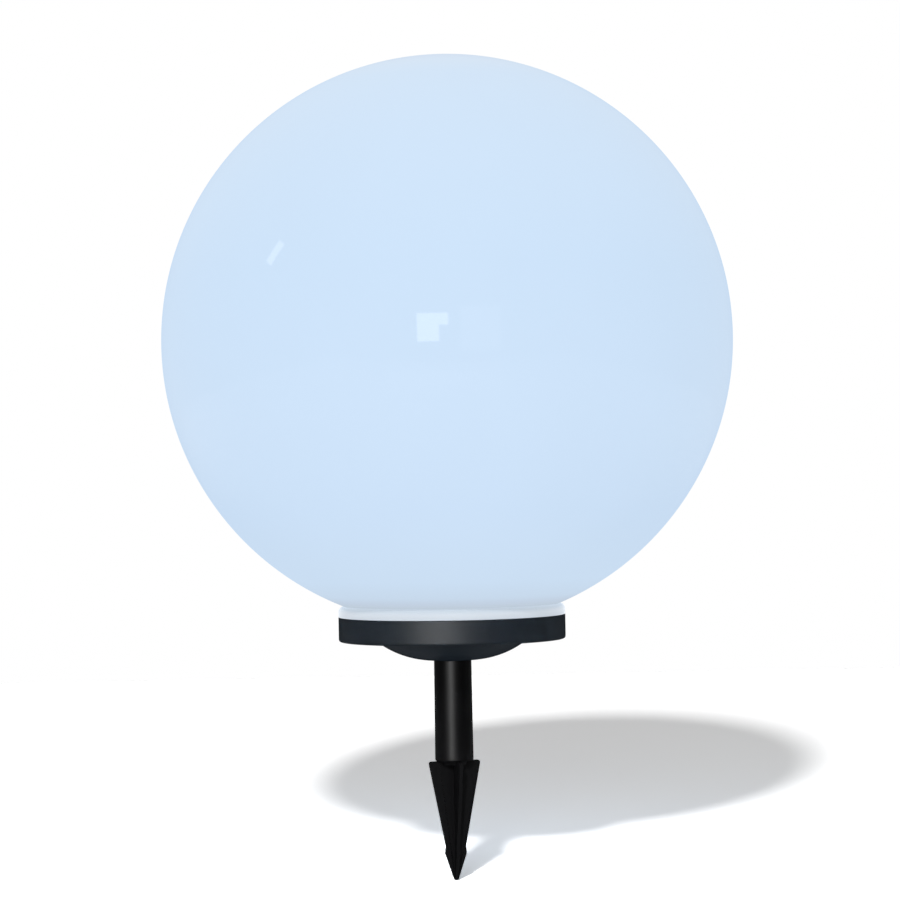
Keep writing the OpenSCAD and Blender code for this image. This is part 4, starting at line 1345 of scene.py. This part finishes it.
def make_door():
    """Battery door with a row of grip ridges and a finger scoop."""
    top_z = span("battery_door")[1].z
    plate = softened("battery_door", "door_plate", door_finish, 0.3, 3, 40.0)
    scoop_r, scoop_deep = 14, 0.75
    scoop = turned("scoop", arc(0, 0, scoop_r, -90, 0, 14) + [(0, 0)], door_finish, 64,
                   at=(0, bay_y - 8, top_z + scoop_r - scoop_deep))
    plate = crisp_flats(cut(plate, scoop))
    ridge = block("ridge", (20, 0.8, 0.5), (0, 0, -0.22), door_finish, 0.2)
    ridges = copies("grip_ridges", ridge, [(0, bay_y + 3 + 2.2 * i, top_z) for i in range(5)], door_finish)
    fitted(merged("bay_door", plate, ridges), "door", "deck_plastic", "battery_door")


def make_screws():
    """All the screws. Each set has its pattern's diameter and length, and its places with their lean."""
    steel = finishes["screw_steel"]
    sides = (-1, 1)

    def screws(name, d, long, places):
        return copies(name, screw("screw", d, long, steel), places, steel)

    door_x = span("door_screws")[1].x - 2.85
    doors = screws("door_fixings", 3, 2.0, [((s * door_x, bay_y, deck_top_z), (180, 0, 0)) for s in sides])
    fitted(doors, "door", "screw_steel", "door_screws")
    decks = screws("deck_fixings", 3, 12.4, [
        (ring_place(post_ring_r, angle, deck_top_z), (180, 0, 20 + 37 * i))
        for i, angle in enumerate(post_angles)])
    fitted(decks, "base", "screw_steel", "deck_screws")
    hole_x, hole_y = 28, 18
    boards = screws("board_fixings", 2, 5.5, [
        ((board_mid.x + sx * hole_x, board_mid.y + sy * hole_y, board_z), (0, 0, 25 + 40 * sx + 15 * sy))
        for sx in sides for sy in sides])
    ear_x, ear_y, ear_z = 33.45, bay_y - bay_half_wide + 3.5, deck_z - 2.5
    ears = screws("box_fixings", 2, 3.7, [((s * ear_x, ear_y, ear_z), (0, 0, 30 * s)) for s in sides])
    strips = screws("strip_fixings", 2, 4.0, [
        ((s * lamp_x, 0, strip_top_z), (180, 0, 50 * s)) for s in sides])
    fitted(merged("small_fixings", boards, ears, strips), "base", "screw_steel", "board_screws")


def make_switch():
    """Switch body with its terminals, the spring inside and the rubber button under the rim."""
    soft_copy("switch_body", "switch_case", "switch_plastic", 0.35, 3)
    low, high = span("switch_button")
    dish = low.z + 0.35
    line = soft_outline([
        (0, dish, 0), (2.6, dish, 0.5), (3.1, low.z, 0.4), (button_r, low.z, 1.0), (button_r, floor_z, 0.2),
        (button_flange_r, floor_z, 0.2), (button_flange_r, button_flange_z, 0.2),
        (button_stem_r, button_flange_z, 0.1), (button_stem_r, high.z, 0.4), (0, high.z, 0),
    ], 6)
    button = turned("push_button", line, finishes["button_rubber"], 64, at=(0, switch_y, 0))
    fitted(button, "button", "button_rubber", "switch_button")
    spring = coils("button_spring", [(0, switch_y, button_flange_z + wire_r)], button_spring_r,
                   button_spring_r, button_spring_long - 2 * wire_r, 5.0, wire_r, finishes["contact_metal"])
    fitted(spring, "base", "contact_metal", "switch_spring")
    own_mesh(spring)


# Leads


def blend(a, b, c, d, t):
    """A point on the smooth curve through b and c, at the share t of the way, with a and d beyond them."""
    return 0.5 * (2 * b + (c - a) * t + (2 * a - 5 * b + 4 * c - d) * t * t
                  + (3 * b - a - 3 * c + d) * t ** 3)


def lead_line(points):
    """The same smooth line as the frame's leads: straight at both ends and curved between."""
    points = [Vector(p) for p in points]
    inner = points[1:-1]
    last = len(inner) - 1
    line = [points[0]]
    for i in range(last):
        near = inner[max(i - 1, 0)], inner[i], inner[i + 1], inner[min(i + 2, last)]
        line += [blend(*near, s / 6) for s in range(6)]
    return line + [inner[-1], points[-1]]


def lead_routes(side):
    """Where each pair of leads runs. side is -1 for red and 1 for black."""
    z = board_z - terminal_side / 2
    off, bend = side * lead_off, lead_bend
    front, back, y = board_low.y, board_high.y, board_mid.y
    box_edge = bay_y + bay_half_wide + bay_wall
    switch_edge = switch_y - switch_half
    strip_y = strip_half_long - lead_hole_in + off
    panel_y = back + 2 * bend
    panel_x, switch_x = off + terminal_off_x, off - terminal_off_x
    routes = [
        [(off, box_edge, z), (off, box_edge + bend, z), (off, (front + box_edge) / 2, z - bend),
         (off, front - bend, z), (off, front, z)],
        [(panel_x, panel_y, deck_top_z), (panel_x, panel_y, deck_z - bend),
         (panel_x, panel_y - bend * 0.4, z + bend * 0.4), (panel_x, panel_y - bend * 1.4, z),
         (panel_x, panel_y - bend * 2, z)],
        [(off, switch_edge, z), (off, switch_edge - bend, z), (switch_x, back + bend, z),
         (switch_x, back, z)],
    ]
    for end in (1, -1):
        x, strip_x = end * board_half_long, end * lamp_x
        routes.append([
            (strip_x, strip_y, deck_top_z), (strip_x, strip_y, deck_z - bend),
            (strip_x - end * bend, strip_y, z + bend), (x + end * 3 * bend, y + 2 * bend + off, z),
            (x + end * bend, y + off, z), (x, y + off, z)])
    return routes


def make_leads():
    """The red and the black lead of each pair, as one piece a colour."""
    for side, colour in ((-1, "red"), (1, "black")):
        finish = finishes["lead_" + colour]
        runs = [grown(colour + "_run", path_of(colour + "_path", lead_line(route)), wire, finish, 50.0,
                      Radius=lead_r * MM, Sides=14) for route in lead_routes(side)]
        fitted(merged(colour + "_wiring", *runs), "base", "lead_" + colour, colour + "_leads")


# Room, lights and camera


def place_camera():
    """The photograph's view, with the part's axis and the eye line at the photograph's places."""
    data = bpy.data.cameras.new("photo_camera")
    data.sensor_width = sensor
    data.lens = camera_focal_px * sensor / photo_side
    camera = linked("photo_camera", data)
    side = (photo_side / 2 - axis_px) / camera_focal_px * camera_distance
    camera.location = (side, -camera_distance, camera_height)
    pitch = math.atan((eye_line_px - photo_side / 2) / camera_focal_px)
    turn = Matrix.Rotation(math.pi / 2 + pitch, 3, "X") @ Matrix.Rotation(-math.radians(camera_roll), 3, "Z")
    camera.rotation_euler = turn.to_euler()
    bpy.context.scene.camera = camera


def seen_rays(graph):
    """1 for rays from the camera, a mirror or clear plastic, which see the plain white surround."""
    path = graph.add("ShaderNodeLightPath").outputs
    seen = graph.maths("MAXIMUM", path["Is Camera Ray"], path["Is Glossy Ray"])
    return graph.maths("MAXIMUM", seen, path["Is Transmission Ray"])


def grey(level):
    """A grey of that level, as a colour socket takes it."""
    return (level, level, level, 1)


def lay_floor():
    """A wide pale floor. Seen directly it is white where the light reaches it."""
    low, half = cad_low.z, floor_half
    mesh = bpy.data.meshes.new("floor")
    mesh.from_pydata([(-half, -half, low), (half, -half, low), (half, half, low), (-half, half, low)], [],
                     [(0, 1, 2, 3)])
    floor = linked("floor", mesh)
    paint, graph, shade = shader("floor_paint", 0.95, Specular_IOR_Level=0.0, Emission_Color=grey(1))
    seen = seen_rays(graph)
    graph.feed(shade, Base_Color=graph.mix(seen, grey(floor_tone), grey(floor_seen)),
               Emission_Strength=graph.maths("MULTIPLY", seen, floor_glow))
    mesh.materials.append(paint)


def stand_lamp(name, lamp, towards, far, centre_z):
    """A lamp set off from the part's axis at the height centre_z, not seen by the camera."""
    holder = linked(name, lamp)
    holder.location = Vector((0, 0, centre_z * MM)) + Vector(towards).normalized() * far
    holder.visible_camera = False
    return holder


def light_key():
    """The round lamp that casts the shadow. Its light doesn't fade with distance, so the floor is even."""
    key = bpy.data.lights.new("key", "POINT")
    key.shadow_soft_size = key_radius
    key.energy = key_level * 4 * math.pi ** 2
    key.use_nodes = True
    graph = Graph(key.node_tree)
    even = graph.add("ShaderNodeLightFalloff", Strength=1.0).outputs["Constant"]
    graph.link(even, key.node_tree.nodes["Emission"].inputs["Strength"])
    stand_lamp("key", key, key_from, key_far, ball_z).visible_glossy = False


def light_room():
    """Even light from all round, the key lamp and the soft boxes that show on the ball."""
    world = bpy.data.worlds.new("studio")
    bpy.context.scene.world = world
    world.use_nodes = True
    graph = Graph(world.node_tree)
    level = graph.mix(seen_rays(graph), grey(room_level), grey(1))
    graph.link(level, world.node_tree.nodes["Background"].inputs["Color"])
    light_key()
    for box in soft_boxes:
        soft_box(*box, centre_z=ball_z)


def soft_box(name, towards, far, wide, high, roll, level, centre_z):
    """A flat lamp that faces the part's axis at the height centre_z."""
    lamp = bpy.data.lights.new(name, "AREA")
    lamp.shape = "RECTANGLE"
    lamp.size, lamp.size_y = wide, high
    lamp.energy = level * math.pi * wide * high
    holder = stand_lamp(name, lamp, towards, far, centre_z)
    facing = Vector(towards).normalized().to_track_quat("Z", "Y").to_matrix()
    holder.rotation_euler = (facing @ Matrix.Rotation(math.radians(roll), 3, "Z")).to_euler()
    return holder


def light_blacks(*pieces):
    """A low lamp in front that puts the soft highlight on the black pieces and lights nothing else."""
    holder = soft_box(*sheen_box, centre_z=0)
    holder.visible_diffuse = False
    lit = bpy.data.collections.new("black_pieces")
    for piece in pieces:
        lit.objects.link(piece)
    holder.light_linking.receiver_collection = lit


place_camera()
lay_floor()
light_room()
make_ball()
make_collar()
make_seal()
light_blacks(make_housing(), make_pole())
make_spike()
soft_copy("deck", "deck_plate", "deck_plastic", 0.35)
make_panel()
make_lamps()
make_control_board()
make_terminals()
make_batteries()
make_contacts()
soft_copy("battery_box", "battery_tub", "box_plastic", 0.3)
make_door()
make_screws()
make_switch()
make_leads()
bpy.context.scene.view_settings.view_transform = "Standard"
